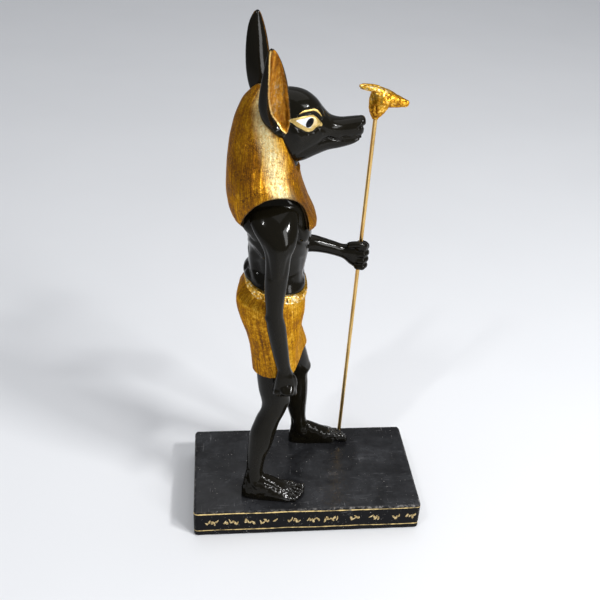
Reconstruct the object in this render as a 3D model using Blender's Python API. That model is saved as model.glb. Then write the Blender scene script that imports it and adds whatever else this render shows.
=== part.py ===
"""Striding jackal-headed statuette on a plinth, with a staff in its left hand.

Metres, +Z up. The figure walks towards +X and its left side is +Y. The origin is the centre of the
plinth's underside. The figure's pose and carving are counted in modules of its own height.
"""

import math

import bmesh
import bpy
import numpy as np

MM = 0.001
TOUCH_GAP = 0.3 * MM  # between pieces that rest on each other

# The figure, from its soles to the tip of its taller ear
FIGURE_HEIGHT = 289.0 * MM

# The slab below it, as the margins that it leaves round the stance
PLINTH_THICKNESS = 20.0 * MM
MARGIN_BEHIND_HEEL = 30.4 * MM
MARGIN_AHEAD_OF_TOE = 39.8 * MM
MARGIN_RIGHT_OF_FOOT = 6.4 * MM
MARGIN_LEFT_OF_STAFF = 1.8 * MM
PLINTH_CORNER_RADIUS = 2.4 * MM
PLINTH_EDGE_RADIUS = 0.7 * MM

# The staff: a thin rod that stands in the plinth, passes through the left fist and carries a cast head
STAFF_DIAMETER = 2.4 * MM
STAFF_CLEARANCE = 0.3 * MM
STAFF_ABOVE_PLINTH = 233.5 * MM
STAFF_SOCKET_DEPTH = 3.0 * MM
STAFF_HEAD_SOCKET_DEPTH = 5.0 * MM
STAFF_HEAD_LENGTH = 28.6 * MM
STAFF_SIDES = 20

# Stance, in modules from the point on the ground below the figure's middle
MEDIAN_Y = 3.0
RIGHT_HEEL = (-41.8, -22.4)
LEFT_HEEL = (-7.8, 27.6)
RIGHT_FOOT_TURN = math.radians(-5.5)
LEFT_FOOT_TURN = math.radians(1.5)
FOOT_LENGTH = 40.2
FOOT_HALF_WIDTH = 6.7
STAFF_FOOT_GAP = 0.5  # to the little toe behind the staff and the fourth toe beside it
STAFF_GRIP = (30.7, 33.0, 142.5)

# Torso and neck: centre x and height, then half-depth and half-width
TORSO = (
    (-25.0, 134.7, 16.0, 18.0),
    (-23.0, 146.7, 15.4, 17.6),
    (-22.1, 159.7, 16.4, 17.6),
    (-21.7, 168.7, 17.2, 19.4),
    (-21.9, 177.7, 18.0, 21.8),
    (-23.0, 187.7, 16.4, 22.0),
    (-24.2, 196.7, 14.0, 19.5),
    (-24.4, 202.7, 11.0, 14.0),
    (-23.4, 208.7, 9.2, 10.8),
    (-22.2, 217.7, 9.4, 9.7),
    (-21.0, 228.7, 9.4, 9.6),
)

# Flare of the hips above the belt, in the same columns
WAIST = (
    (-22.8, 141.5, 16.6, 20.6),
    (-22.8, 145.4, 16.9, 21.2),
    (-22.8, 147.4, 16.6, 20.4),
    (-22.8, 150.2, 15.8, 18.8),
    (-22.6, 155.0, 15.2, 17.2),
)

# Each breast muscle, from below: x, height, half-depth and half-width
BREAST_FROM_MEDIAN = 9.6
BREAST = (
    (-11.2, 173.4, 2.5, 4.0),
    (-11.2, 176.6, 5.4, 8.0),
    (-12.2, 181.6, 6.2, 9.4),
    (-15.0, 188.6, 5.2, 9.4),
    (-18.0, 194.6, 3.0, 6.0),
)

# Head above the mouth: x and centre height, then half-width and half-height
HEAD = (
    (-37.0, 234.7, 9.0, 15.0),
    (-30.0, 235.2, 12.2, 19.5),
    (-19.0, 236.3, 13.0, 19.5),
    (-11.0, 237.5, 12.2, 16.9),
    (-5.0, 237.6, 10.4, 12.8),
    (-1.0, 237.1, 8.8, 8.5),
    (3.0, 236.0, 7.4, 5.7),
    (8.0, 235.5, 6.4, 4.9),
    (13.0, 235.8, 5.9, 5.0),
    (17.0, 236.2, 5.4, 5.1),
    (19.0, 236.4, 4.8, 4.9),
    (20.2, 236.3, 3.4, 3.9),
)

# Nose pad and lower jaw, in the same columns
NOSE = (
    (16.4, 239.6, 2.4, 1.3),
    (18.6, 239.5, 3.6, 2.1),
    (20.2, 239.1, 3.4, 2.3),
    (21.1, 238.7, 2.2, 1.6),
)
JAW = (
    (-20.0, 225.3, 9.6, 9.8),
    (-11.0, 226.2, 9.6, 8.6),
    (-4.0, 227.8, 8.3, 7.0),
    (2.0, 229.0, 6.7, 5.8),
    (8.0, 229.0, 5.7, 4.5),
    (14.0, 229.6, 4.9, 3.3),
    (17.4, 230.4, 4.2, 2.3),
    (19.3, 231.1, 3.0, 1.4),
)

# Each eye is an almond that stands a little out of the head
EYE_CENTRE = (-10.3, 240.9)
EYE_HALF_LENGTH = 7.8
EYE_HALF_HEIGHT = 3.9
EYE_FROM_MEDIAN = 11.7
EYE_BULGE = 2.0
EYE_TURN = math.radians(-16.0)

# Ears, from the root up: centre x, distance from the median, height, half-width and half-depth
RIGHT_EAR = (
    (-23.4, 14.4, 236.7, 2.6, 2.8),
    (-25.3, 15.2, 240.7, 5.2, 4.0),
    (-26.9, 16.0, 245.7, 7.1, 4.4),
    (-27.8, 16.8, 252.6, 7.7, 4.2),
    (-28.0, 17.8, 259.2, 7.1, 3.7),
    (-28.2, 18.6, 266.7, 5.8, 3.0),
    (-28.8, 19.4, 274.5, 3.9, 2.1),
    (-29.9, 20.0, 280.5, 1.2, 0.9),
)
LEFT_EAR = (
    (-26.0, 14.4, 237.7, 3.0, 2.8),
    (-28.6, 15.2, 242.7, 5.6, 4.0),
    (-31.4, 16.0, 249.7, 6.9, 4.4),
    (-33.4, 16.8, 258.7, 6.9, 4.1),
    (-34.5, 17.8, 267.7, 6.3, 3.6),
    (-35.1, 18.6, 276.2, 5.3, 2.9),
    (-35.3, 19.2, 283.4, 3.6, 2.0),
    (-34.9, 19.6, 289.0, 1.2, 0.9),
)
MODULE = FIGURE_HEIGHT / LEFT_EAR[-1][2]  # the left ear's tip is the figure's highest point
EAR_HOLLOW_SHIFT = (0.26, 0.85)  # forward and outward, as shares of the half-width and half-depth
EAR_HOLLOW_SIZE = (0.62, 1.0)

# Wig: height, back x, front x, half-width and the squareness of its ring
WIG = (
    (256.0, -36.5, -29.0, 5.0, 2.2),
    (253.7, -39.3, -23.0, 9.5, 2.2),
    (248.7, -43.5, -18.0, 13.0, 2.2),
    (241.7, -46.3, -15.0, 15.4, 2.2),
    (233.7, -48.4, -12.0, 16.8, 2.2),
    (226.7, -49.8, -10.0, 18.2, 2.2),
    (219.7, -50.6, -10.5, 20.8, 2.2),
    (213.7, -51.0, -11.9, 24.2, 2.2),
    (208.7, -51.1, -11.0, 27.2, 2.2),
    (202.7, -51.1, -9.0, 28.0, 2.3),
    (195.7, -50.6, -6.2, 26.4, 2.5),
    (190.2, -49.0, -3.6, 24.6, 2.8),
    (186.4, -47.0, -1.9, 23.0, 3.0),
    (183.4, -44.0, -1.6, 21.0, 3.0),
)
FACE_OPENING_BOTTOM = (-14.0, 214.7)  # x and height where the throat leaves the wig
FACE_OPENING_SLOPE = 0.45  # how far the opening steps back for each module of height

# The arch that the wig leaves open over each shoulder
ARCH_CENTRE = (-23.4, 184.7)
ARCH_HALF_SPAN = 15.8
ARCH_RISE = 21.7
ARCH_FROM_MEDIAN = 15.5

# Kilt: height, tilt of the ring, then x, y, half-depth and half-width round the right and left thigh
KILT = (
    (145.2, 2.4, -22.8, -1.0, 15.4, 15.6, -22.8, 7.0, 15.4, 15.6),
    (142.7, 2.2, -23.2, -1.6, 16.9, 16.6, -22.9, 7.6, 16.9, 16.6),
    (139.6, 1.8, -24.5, -2.4, 18.6, 17.8, -23.9, 8.4, 18.0, 17.8),
    (135.7, 1.2, -25.6, -3.0, 19.8, 18.3, -24.5, 9.0, 19.0, 18.3),
    (128.7, 0.6, -25.4, -4.0, 19.3, 18.3, -24.0, 10.0, 18.2, 18.3),
    (121.7, 0.0, -24.8, -5.5, 17.5, 17.2, -22.5, 11.5, 15.6, 17.0),
    (114.7, 0.0, -23.8, -7.0, 15.9, 16.0, -20.6, 13.0, 13.6, 15.0),
    (107.7, 0.0, -23.5, -8.5, 14.4, 14.4, -19.0, 14.5, 12.6, 13.4),
    (102.7, 0.0, -23.3, -9.5, 13.8, 13.2, -16.9, 15.2, 12.5, 12.6),
    (96.2, 0.0, -23.0, -10.2, 13.4, 12.4, -14.8, 15.5, 12.5, 12.2),
    (91.4, 0.0, -22.8, -10.7, 11.8, 11.6, -13.4, 15.5, 12.0, 11.6),
)

# Belt: how far each ring stands above the belt's lower edge, and how proud of the waist it is
BELT_CENTRE = (-22.7, 140.5)
BELT_HALF_DEPTH = 17.2
BELT_HALF_WIDTH = 22.2
BELT_TILT = 2.4
WAIST_POWER = 2.5  # squareness of the belt and the waist inside it
BELT_PROFILE = ((0.0, -0.2), (0.9, 0.9), (4.9, 0.9), (5.8, -0.4))

# Right arm and the back of its fist, from the shoulder down: x, y, height, half-depth, half-width
RIGHT_ARM = (
    (-24.6, -9.5, 200.5, 4.5, 3.0),
    (-24.8, -10.5, 198.5, 7.4, 5.5),
    (-25.0, -13.3, 195.0, 9.4, 7.2),
    (-25.2, -16.4, 191.0, 10.5, 8.2),
    (-24.9, -19.3, 187.0, 10.5, 8.7),
    (-24.5, -21.8, 183.0, 9.5, 8.4),
    (-24.2, -23.5, 179.0, 8.0, 7.6),
    (-24.1, -24.3, 174.0, 7.0, 6.8),
    (-24.3, -24.7, 166.7, 6.5, 6.0),
    (-24.9, -25.2, 155.7, 6.2, 5.4),
    (-25.2, -25.6, 145.2, 5.2, 4.9),
    (-25.0, -25.8, 137.7, 4.9, 4.8),
    (-23.7, -25.8, 129.2, 5.4, 5.0),
    (-21.6, -25.8, 116.2, 4.9, 4.5),
    (-19.7, -25.8, 105.7, 4.3, 4.0),
    (-18.3, -25.9, 99.6, 4.4, 4.0),
    (-17.8, -26.2, 96.0, 5.6, 4.6),
    (-17.7, -26.4, 91.0, 6.4, 4.9),
    (-17.6, -26.4, 86.6, 7.1, 4.8),
    (-17.5, -26.2, 83.6, 6.9, 4.0),
)

# Left upper arm, in the same columns
LEFT_UPPER_ARM = (
    (-24.6, 15.5, 200.5, 4.5, 3.0),
    (-24.8, 16.5, 198.5, 7.4, 5.5),
    (-25.0, 19.3, 195.0, 9.4, 7.2),
    (-25.2, 22.4, 191.0, 10.5, 8.2),
    (-25.1, 25.2, 187.0, 10.4, 8.6),
    (-25.0, 27.6, 183.0, 9.4, 8.3),
    (-25.2, 29.2, 178.7, 8.0, 7.2),
    (-26.0, 30.2, 170.7, 6.8, 6.2),
    (-27.0, 31.2, 158.7, 6.0, 5.5),
    (-27.2, 31.9, 150.7, 5.3, 5.1),
    (-26.8, 32.2, 146.2, 3.6, 3.6),
)

# Left forearm and palm, from the elbow forward: x, y, height, half-width, half-height
LEFT_FOREARM = (
    (-32.4, 32.0, 150.6, 2.4, 2.6),
    (-29.0, 32.0, 150.4, 4.5, 4.8),
    (-22.0, 32.2, 150.6, 5.3, 5.6),
    (-12.0, 32.4, 151.0, 5.3, 5.7),
    (1.0, 32.6, 151.0, 5.0, 5.4),
    (8.0, 32.7, 149.5, 4.5, 4.8),
    (15.0, 32.8, 147.3, 4.0, 4.5),
    (20.5, 32.9, 145.2, 3.8, 4.7),
    (25.0, 33.0, 143.4, 4.4, 7.0),
    (29.0, 33.1, 142.6, 4.4, 8.6),
    (33.0, 33.1, 142.5, 3.6, 8.2),
)

# Right leg, from the thigh down: x, y, height, half-depth, half-width
RIGHT_LEG = (
    (-22.6, -10.2, 100.7, 11.0, 10.3),
    (-22.7, -10.9, 85.7, 10.4, 9.8),
    (-22.4, -12.0, 75.7, 9.5, 9.0),
    (-21.9, -13.4, 68.2, 8.3, 8.0),
    (-23.1, -14.4, 61.7, 7.9, 7.4),
    (-26.4, -15.5, 53.7, 7.6, 7.1),
    (-28.9, -16.8, 45.7, 7.9, 7.2),
    (-30.5, -18.0, 37.7, 7.4, 6.7),
    (-32.4, -19.2, 29.7, 6.0, 5.6),
    (-33.6, -20.4, 20.7, 5.3, 4.9),
    (-34.2, -21.4, 13.7, 5.9, 5.2),
    (-34.6, -22.2, 6.7, 6.6, 5.3),
    (-34.6, -22.4, 1.0, 6.4, 5.0),
)
LEFT_LEG = (
    (-16.4, 15.5, 104.7, 9.0, 9.6),
    (-13.3, 15.5, 93.7, 10.0, 9.9),
    (-11.2, 15.8, 85.7, 10.2, 9.7),
    (-8.2, 16.8, 76.7, 9.5, 9.0),
    (-6.2, 18.2, 70.2, 8.4, 8.0),
    (-6.4, 19.5, 62.7, 7.9, 7.4),
    (-5.6, 20.9, 54.7, 7.7, 7.1),
    (-5.4, 22.5, 45.7, 7.9, 7.2),
    (-4.8, 24.0, 37.7, 7.4, 6.7),
    (-3.6, 25.5, 29.7, 6.2, 5.7),
    (-2.2, 26.6, 20.7, 5.2, 4.9),
    (-1.0, 27.2, 13.7, 5.7, 5.2),
    (-0.8, 27.6, 6.7, 6.4, 5.3),
    (-0.8, 27.6, 1.0, 6.2, 5.0),
)

# Foot behind the toes: distance from the heel, half-width and height of the instep
FOOT = (
    (0.0, 2.4, 5.5),
    (1.6, 4.4, 9.5),
    (5.5, 5.4, 14.0),
    (11.5, 5.6, 16.0),
    (17.0, 5.8, 13.0),
    (22.0, 6.3, 10.2),
    (27.0, 6.6, 7.8),
    (31.0, FOOT_HALF_WIDTH, 6.0),
    (33.8, 6.5, 4.6),
)

# Toes, from the big one outwards: distance from the foot's middle line, reach from the heel, radius
TOES = (
    (4.6, FOOT_LENGTH, 2.4),
    (1.4, 39.6, 1.75),
    (-1.3, 38.3, 1.6),
    (-3.7, 36.7, 1.5),
    (-5.7, 34.8, 1.4),
)
TOE_ROOT = 29.0

FINGER_COUNT = 4
FIST_BORE_HALF_LENGTH = 20.0  # past the fist's top and bottom
RIGHT_FINGER_CURL = (-26.0, 87.2, 3.5)  # y and height of the curl's middle, and its radius
RIGHT_FINGER_RADIUS = 1.8
RIGHT_FINGER_SWEEP = (0.2, 3.6)
RIGHT_FINGERS_X = (-22.7, -12.4)
RIGHT_THUMB = (-15.6, -27.0, 91.0)  # the middle of its bend
RIGHT_THUMB_BEND = (3.2, 6.0)  # half-axes of the bend, forward and down
RIGHT_THUMB_SWEEP = (-1.3, 1.2)
RIGHT_THUMB_RADIUS = 1.9
LEFT_FINGER_CURL = (3.7, 3.0)  # half-depth and half-width of the curl round the staff
LEFT_FINGER_RADIUS = 2.4
LEFT_FINGER_SWEEP = (2.1, -2.5)
LEFT_FINGERS_Z = (135.8, 149.2)
LEFT_THUMB = (27.2, 30.4, 149.2)
LEFT_THUMB_BEND = (6.2, -0.8, 2.6)  # forward half-axis, then the sideways and upward one
LEFT_THUMB_SWEEP = (2.6, 0.2)
LEFT_THUMB_RADIUS = 2.0

# Staff head, in its own modules from the middle of the rod's top: x, height, half-width, half-height
STAFF_HEAD_SKULL = (
    (-5.6, 14.0, 1.6, 2.0),
    (-3.4, 13.0, 4.0, 4.6),
    (0.6, 11.6, 5.2, 6.2),
    (4.6, 11.0, 4.8, 5.4),
    (8.0, 10.4, 3.9, 4.3),
    (12.0, 9.9, 2.9, 3.1),
    (16.0, 9.2, 2.1, 2.0),
    (18.0, 8.6, 1.1, 1.1),
)
# Its neck: x, height, half-depth and half-width
STAFF_HEAD_NECK = (
    (0.0, -0.4, 2.0, 2.0),
    (0.0, 1.2, 3.2, 3.2),
    (0.5, 4.4, 5.4, 5.0),
    (1.4, 8.4, 6.4, 5.6),
    (2.4, 12.0, 6.0, 4.8),
)
# Its laid-back ears: x, distance from the middle, height, half-width and half-height
STAFF_HEAD_EAR = (
    (3.0, 2.6, 15.2, 1.9, 1.7),
    (-2.0, 3.6, 17.8, 2.4, 1.7),
    (-7.0, 4.2, 19.4, 1.8, 1.2),
    (-10.6, 4.4, 19.8, 0.6, 0.5),
)
# Its brows: x, height, half-width and half-height
STAFF_HEAD_BROW_FROM_MIDDLE = 3.1
STAFF_HEAD_BROW = (
    (2.6, 13.6, 0.8, 0.8),
    (4.6, 13.9, 1.7, 1.6),
    (7.6, 13.0, 1.6, 1.4),
    (9.6, 12.0, 0.7, 0.7),
)

BLACK_LACQUER = (0.012, 0.012, 0.014)
ANTIQUE_GOLD = (0.62, 0.36, 0.07)

# Stance in metres, and the plinth that it asks for
staff_radius = STAFF_DIAMETER / 2
bore_radius = staff_radius + STAFF_CLEARANCE


def foot_point(heel, turn, along, aside):
    """The point on the ground that lies along the foot from its heel and aside to its left, in modules."""
    return (
        heel[0] + along * math.cos(turn) - aside * math.sin(turn),
        heel[1] + along * math.sin(turn) + aside * math.cos(turn),
    )


def outside_of_toe(number):
    """The point outside and just ahead of one of the left foot's toes, counted from the big one."""
    aside, reach, radius = TOES[number - 1]
    return foot_point(LEFT_HEEL, LEFT_FOOT_TURN, reach, radius - aside)


left_toe = foot_point(LEFT_HEEL, LEFT_FOOT_TURN, FOOT_LENGTH, 0)
right_foot_edge = foot_point(RIGHT_HEEL, RIGHT_FOOT_TURN, FOOT_LENGTH * 0.8, -FOOT_HALF_WIDTH)[1]
staff_foot_x = (outside_of_toe(5)[0] + STAFF_FOOT_GAP) * MODULE + staff_radius
staff_foot_y = (outside_of_toe(4)[1] + STAFF_FOOT_GAP) * MODULE + staff_radius

stance_back = RIGHT_HEEL[0] * MODULE - MARGIN_BEHIND_HEEL
stance_front = left_toe[0] * MODULE + MARGIN_AHEAD_OF_TOE
stance_right = right_foot_edge * MODULE - MARGIN_RIGHT_OF_FOOT
stance_left = staff_foot_y + staff_radius + MARGIN_LEFT_OF_STAFF
PLINTH_LENGTH = stance_front - stance_back
PLINTH_WIDTH = stance_left - stance_right
ground = np.array([-(stance_front + stance_back) / 2, -(stance_left + stance_right) / 2, PLINTH_THICKNESS])
soles = ground + np.array([0, 0, TOUCH_GAP])


def on_figure(points):
    """Module points of the figure as metres."""
    return soles + MODULE * np.asarray(points, float)


def smooth(rows, steps):
    """The rows with steps - 1 more in each gap, on a Catmull-Rom curve through them."""
    rows = np.array(rows, float)
    padded = np.vstack([2 * rows[0] - rows[1], rows, 2 * rows[-1] - rows[-2]])
    found = []
    for before, start, end, after in zip(padded, padded[1:], padded[2:], padded[3:]):
        for t in np.arange(steps) / steps:
            bend = (2 * before - 5 * start + 4 * end - after) * t**2
            swing = (3 * start - before - 3 * end + after) * t**3
            found.append((2 * start + (end - before) * t + bend + swing) / 2)
    found.append(rows[-1])
    return np.array(found)


def between(rows):
    return np.mean(rows, axis=0)


def round_ring(centre, first, second, sides, power=2.0):
    """A closed ring round centre with half-axes first and second: an ellipse, squarer above power 2."""
    angles = 2 * np.pi * (np.arange(sides) + 0.5) / sides
    across, up = np.cos(angles), np.sin(angles)
    across = np.sign(across) * np.abs(across) ** (2 / power)
    up = np.sign(up) * np.abs(up) ** (2 / power)
    return np.asarray(centre, float) + np.outer(across, first) + np.outer(up, second)


def level_rings(rows, sides, steps=1, power=2.0):
    """Rings in level planes, from rows of x, y, z, half-depth and half-width."""
    return [
        round_ring(row[:3], (row[3], 0, 0), (0, row[4], 0), sides, power) for row in smooth(rows, steps)
    ]


def upright_rings(rows, sides, steps=1, power=2.0):
    """Rings in planes across X, from rows of x, y, z, half-width and half-height."""
    return [
        round_ring(row[:3], (0, row[3], 0), (0, 0, row[4]), sides, power) for row in smooth(rows, steps)
    ]


def with_y(rows, y):
    """Rows of x, z, ... as rows of x, y, z, ..."""
    return [(row[0], y, *row[1:]) for row in rows]


def arc_rings(centre, first, second, start, end, tube, sides, count):
    """Rings of a tube that follows an arc of an ellipse, with rounded ends, as a bent finger does."""
    centre, first, second = (np.asarray(v, float) for v in (centre, first, second))
    across = np.cross(first, second)
    across /= np.linalg.norm(across)
    rings = []
    for share in np.linspace(0, 1, count):
        angle = start + (end - start) * share
        middle = centre + first * math.cos(angle) + second * math.sin(angle)
        ahead = second * math.cos(angle) - first * math.sin(angle)
        outward = np.cross(ahead, across)
        outward /= np.linalg.norm(outward)
        radius = tube * (0.55 if share in (0, 1) else 1.0)
        rings.append(round_ring(middle, outward * radius, across * radius, sides))
    return rings


def material(name, colour, roughness, metallic):
    made = bpy.data.materials.new(name)
    made.use_nodes = True
    shader = made.node_tree.nodes["Principled BSDF"]
    shader.inputs["Base Color"].default_value = (*colour, 1)
    shader.inputs["Roughness"].default_value = roughness
    shader.inputs["Metallic"].default_value = metallic
    return made


def solid(name, rings, finish, collection, helper=True):
    """A closed body through the rings, with flat ends, as an object of the collection."""
    mesh_maker = bmesh.new()
    loops = [[mesh_maker.verts.new(point) for point in ring] for ring in rings]
    for low, high in zip(loops, loops[1:]):
        for here, following in zip(range(len(low)), [*range(1, len(low)), 0]):
            mesh_maker.faces.new((low[here], low[following], high[following], high[here]))
    mesh_maker.faces.new(loops[0])
    mesh_maker.faces.new(loops[-1])
    bmesh.ops.recalc_face_normals(mesh_maker, faces=mesh_maker.faces)
    mesh = bpy.data.meshes.new(name)
    mesh_maker.to_mesh(mesh)
    mesh_maker.free()
    mesh.materials.append(finish)
    mesh.shade_smooth()
    mesh.set_sharp_from_angle(angle=math.radians(40))
    made = bpy.data.objects.new(name, mesh)
    collection.objects.link(made)
    if helper:
        made.hide_render = True
        made.display_type = "WIRE"
    return made


def form(name, rings, finish, collection):
    """A solid of the figure, from rings in modules."""
    return solid(name, [on_figure(ring) for ring in rings], finish, collection)


def cut(target, cutter):
    boolean = target.modifiers.new("cut_" + cutter.name, "BOOLEAN")
    boolean.operation = "DIFFERENCE"
    boolean.solver = "EXACT"
    boolean.object = cutter
    boolean.material_mode = "TRANSFER"


def join(target, collection):
    boolean = target.modifiers.new("join_" + collection.name, "BOOLEAN")
    boolean.operation = "UNION"
    boolean.solver = "EXACT"
    boolean.operand_type = "COLLECTION"
    boolean.collection = collection
    boolean.material_mode = "TRANSFER"


def make_ear(name, rows, side, finish, lining, collection, cutters):
    """side is -1 for the right ear and 1 for the left one. The hollow opens outwards and forward."""
    placed = [(x, MEDIAN_Y + side * out, z, wide, deep) for x, out, z, wide, deep in rows]
    ear = form(name, level_rings(placed, 14), finish, collection)
    hollow = [
        (
            x + EAR_HOLLOW_SHIFT[0] * wide,
            y + side * EAR_HOLLOW_SHIFT[1] * deep,
            z,
            EAR_HOLLOW_SIZE[0] * wide,
            EAR_HOLLOW_SIZE[1] * deep,
        )
        for x, y, z, wide, deep in (between(placed[:2]), *placed[1:-1], between(placed[-2:]))
    ]
    cut(ear, form(name + "_hollow", level_rings(hollow, 12), lining, cutters))


def make_wig(finish, collection, cutters):
    rings = []
    for z, back, front, wide, power in WIG:
        centre, deep = (back + front) / 2, (front - back) / 2
        ring = round_ring((centre, MEDIAN_Y, z), (deep, 0, 0), (0, wide, 0), 32, power)
        opening = FACE_OPENING_BOTTOM[0] - FACE_OPENING_SLOPE * (z - FACE_OPENING_BOTTOM[1])
        if z > FACE_OPENING_BOTTOM[1]:
            ring[:, 0] = np.minimum(ring[:, 0], opening)
        rings.append(ring)
    wig = form("wig", rings, finish, collection)
    for side, name in ((-1, "right"), (1, "left")):
        arch = [
            round_ring(
                (ARCH_CENTRE[0], MEDIAN_Y + side * out, ARCH_CENTRE[1]),
                (ARCH_HALF_SPAN, 0, 0),
                (0, 0, ARCH_RISE),
                28,
            )
            for out in (ARCH_FROM_MEDIAN, 2.5 * ARCH_FROM_MEDIAN)
        ]
        cut(wig, form(f"arch_{name}", arch, finish, cutters))


def thigh_hull_ring(row, sides):
    """A level ring drawn tight round two ellipses, as cloth is round two thighs."""
    z, tilt = row[:2]
    centre = between([row[2:4], row[6:8]])
    points = []
    for angle in np.linspace(0, 2 * np.pi, 360, endpoint=False):
        across, aside = math.cos(angle), math.sin(angle)
        reaches = []
        for x, y, deep, wide in (row[2:6], row[6:10]):
            span = math.hypot(deep * across, wide * aside)
            point = (x + deep**2 * across / span, y + wide**2 * aside / span)
            reaches.append((x * across + y * aside + span, point))
        points.append(max(reaches)[1])
    points = np.array(points)
    bearing = np.arctan2(*(points - centre).T[::-1])
    even = 2 * np.pi * (np.arange(sides) + 0.5) / sides - np.pi
    ring = np.full((sides, 3), z)
    for axis in (0, 1):
        order = np.argsort(bearing)
        ring[:, axis] = np.interp(even, bearing[order], points[order, axis], period=2 * np.pi)
    middle = (ring[:, 0].max() + ring[:, 0].min()) / 2
    half = (ring[:, 0].max() - ring[:, 0].min()) / 2
    ring[:, 2] -= tilt * (ring[:, 0] - middle) / half
    return ring


def make_kilt_and_belt(finish, collection):
    form("kilt", [thigh_hull_ring(row, 28) for row in KILT], finish, collection)
    rings = []
    for rise, proud in BELT_PROFILE:
        centre = (BELT_CENTRE[0], MEDIAN_Y, BELT_CENTRE[1] + rise)
        half_axes = (BELT_HALF_DEPTH + proud, 0, 0), (0, BELT_HALF_WIDTH + proud, 0)
        ring = round_ring(centre, *half_axes, 28, WAIST_POWER)
        ring[:, 2] -= BELT_TILT * (ring[:, 0] - BELT_CENTRE[0]) / BELT_HALF_DEPTH
        rings.append(ring)
    form("belt", rings, finish, collection)


def make_head(finish, collection):
    form("head", upright_rings(with_y(HEAD, MEDIAN_Y), 20, 1, 2.15), finish, collection)
    form("jaw", upright_rings(with_y(JAW, MEDIAN_Y), 16, 1, 2.1), finish, collection)
    form("nose", upright_rings(with_y(NOSE, MEDIAN_Y), 10), finish, collection)
    for side, name in ((-1, "right"), (1, "left")):
        along = np.array([math.cos(EYE_TURN), side * math.sin(EYE_TURN), 0])
        out = np.array([-side * along[1], side * along[0], 0])
        rings = []
        for share in (-0.98, -0.7, -0.35, 0.0, 0.35, 0.7, 0.98):
            swell = 1 - share**2
            centre = np.array([EYE_CENTRE[0], MEDIAN_Y + side * EYE_FROM_MEDIAN, EYE_CENTRE[1]])
            middle = centre + along * share * EYE_HALF_LENGTH
            up = np.array([0, 0, EYE_HALF_HEIGHT * swell])
            rings.append(round_ring(middle, out * EYE_BULGE * swell**0.5, up, 8))
        form(f"eye_{name}", rings, finish, collection)


def make_foot(name, heel, turn, side, finish, collection):
    """side is -1 for the right foot and 1 for the left one. The big toe is on the inner side."""
    along = np.array([math.cos(turn), math.sin(turn), 0])
    left = np.array([-along[1], along[0], 0])
    start = np.array([heel[0], heel[1], 0])

    def flat_below(ring):
        ring[:, 2] = np.maximum(ring[:, 2], 0)
        return ring

    rings = [
        flat_below(
            round_ring(
                start + along * reach + np.array([0, 0, 0.42 * height]),
                left * wide,
                (0, 0, 0.58 * height),
                14,
                2.3,
            )
        )
        for reach, wide, height in FOOT
    ]
    form(f"foot_{name}", rings, finish, collection)
    for number, (aside, reach, radius) in enumerate(TOES):
        base = start - side * left * aside
        rings = [
            flat_below(
                round_ring(
                    base + along * at + np.array([0, 0, 0.8 * radius * lift]),
                    left * radius * wide,
                    (0, 0, radius * wide),
                    8,
                )
            )
            for at, wide, lift in (
                (TOE_ROOT, 0.9, 1.5),
                (reach - 4.2 * radius / 2, 0.95, 1.15),
                (reach - 0.9 * radius, 1.05, 1.0),
                (reach, 0.55, 0.9),
            )
        ]
        form(f"toe_{name}_{number + 1}", rings, finish, collection)


def make_hands(finish, collection):
    y, z, radius = RIGHT_FINGER_CURL
    for number, x in enumerate(np.linspace(*RIGHT_FINGERS_X, FINGER_COUNT)):
        rings = arc_rings(
            (x, y, z), (0, -radius, 0), (0, 0, -radius), *RIGHT_FINGER_SWEEP, RIGHT_FINGER_RADIUS, 8, 6
        )
        form(f"right_finger_{number + 1}", rings, finish, collection)
    forward, down = RIGHT_THUMB_BEND
    thumb = arc_rings(
        RIGHT_THUMB, (forward, 0, 0), (0, 0, -down), *RIGHT_THUMB_SWEEP, RIGHT_THUMB_RADIUS, 8, 5
    )
    form("right_thumb", thumb, finish, collection)
    deep, wide = LEFT_FINGER_CURL
    for number, z in enumerate(np.linspace(*LEFT_FINGERS_Z, FINGER_COUNT)):
        rings = arc_rings(
            (STAFF_GRIP[0], STAFF_GRIP[1], z),
            (deep, 0, 0),
            (0, wide, 0),
            *LEFT_FINGER_SWEEP,
            LEFT_FINGER_RADIUS,
            8,
            7,
        )
        form(f"left_finger_{number + 1}", rings, finish, collection)
    forward, aside, up = LEFT_THUMB_BEND
    thumb = arc_rings(
        LEFT_THUMB, (forward, 0, 0), (0, aside, up), *LEFT_THUMB_SWEEP, LEFT_THUMB_RADIUS, 8, 5
    )
    form("left_thumb", thumb, finish, collection)


def staff_axis():
    """The rod's foot on the plinth and its unit direction, through the middle of the left fist."""
    foot = ground + np.array([staff_foot_x, staff_foot_y, 0])
    direction = on_figure(STAFF_GRIP) - foot
    return foot, direction / np.linalg.norm(direction)


def rod(name, radius, low, high, finish, collection, helper=True):
    """A round bar along the staff's axis, between two heights above the plinth's top."""
    foot, direction = staff_axis()
    rings = []
    for height in (low, high):
        middle = foot + direction * height / direction[2]
        rings.append(round_ring(middle, (radius, 0, 0), (0, radius, 0), STAFF_SIDES))
    return solid(name, rings, finish, collection, helper)


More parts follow.
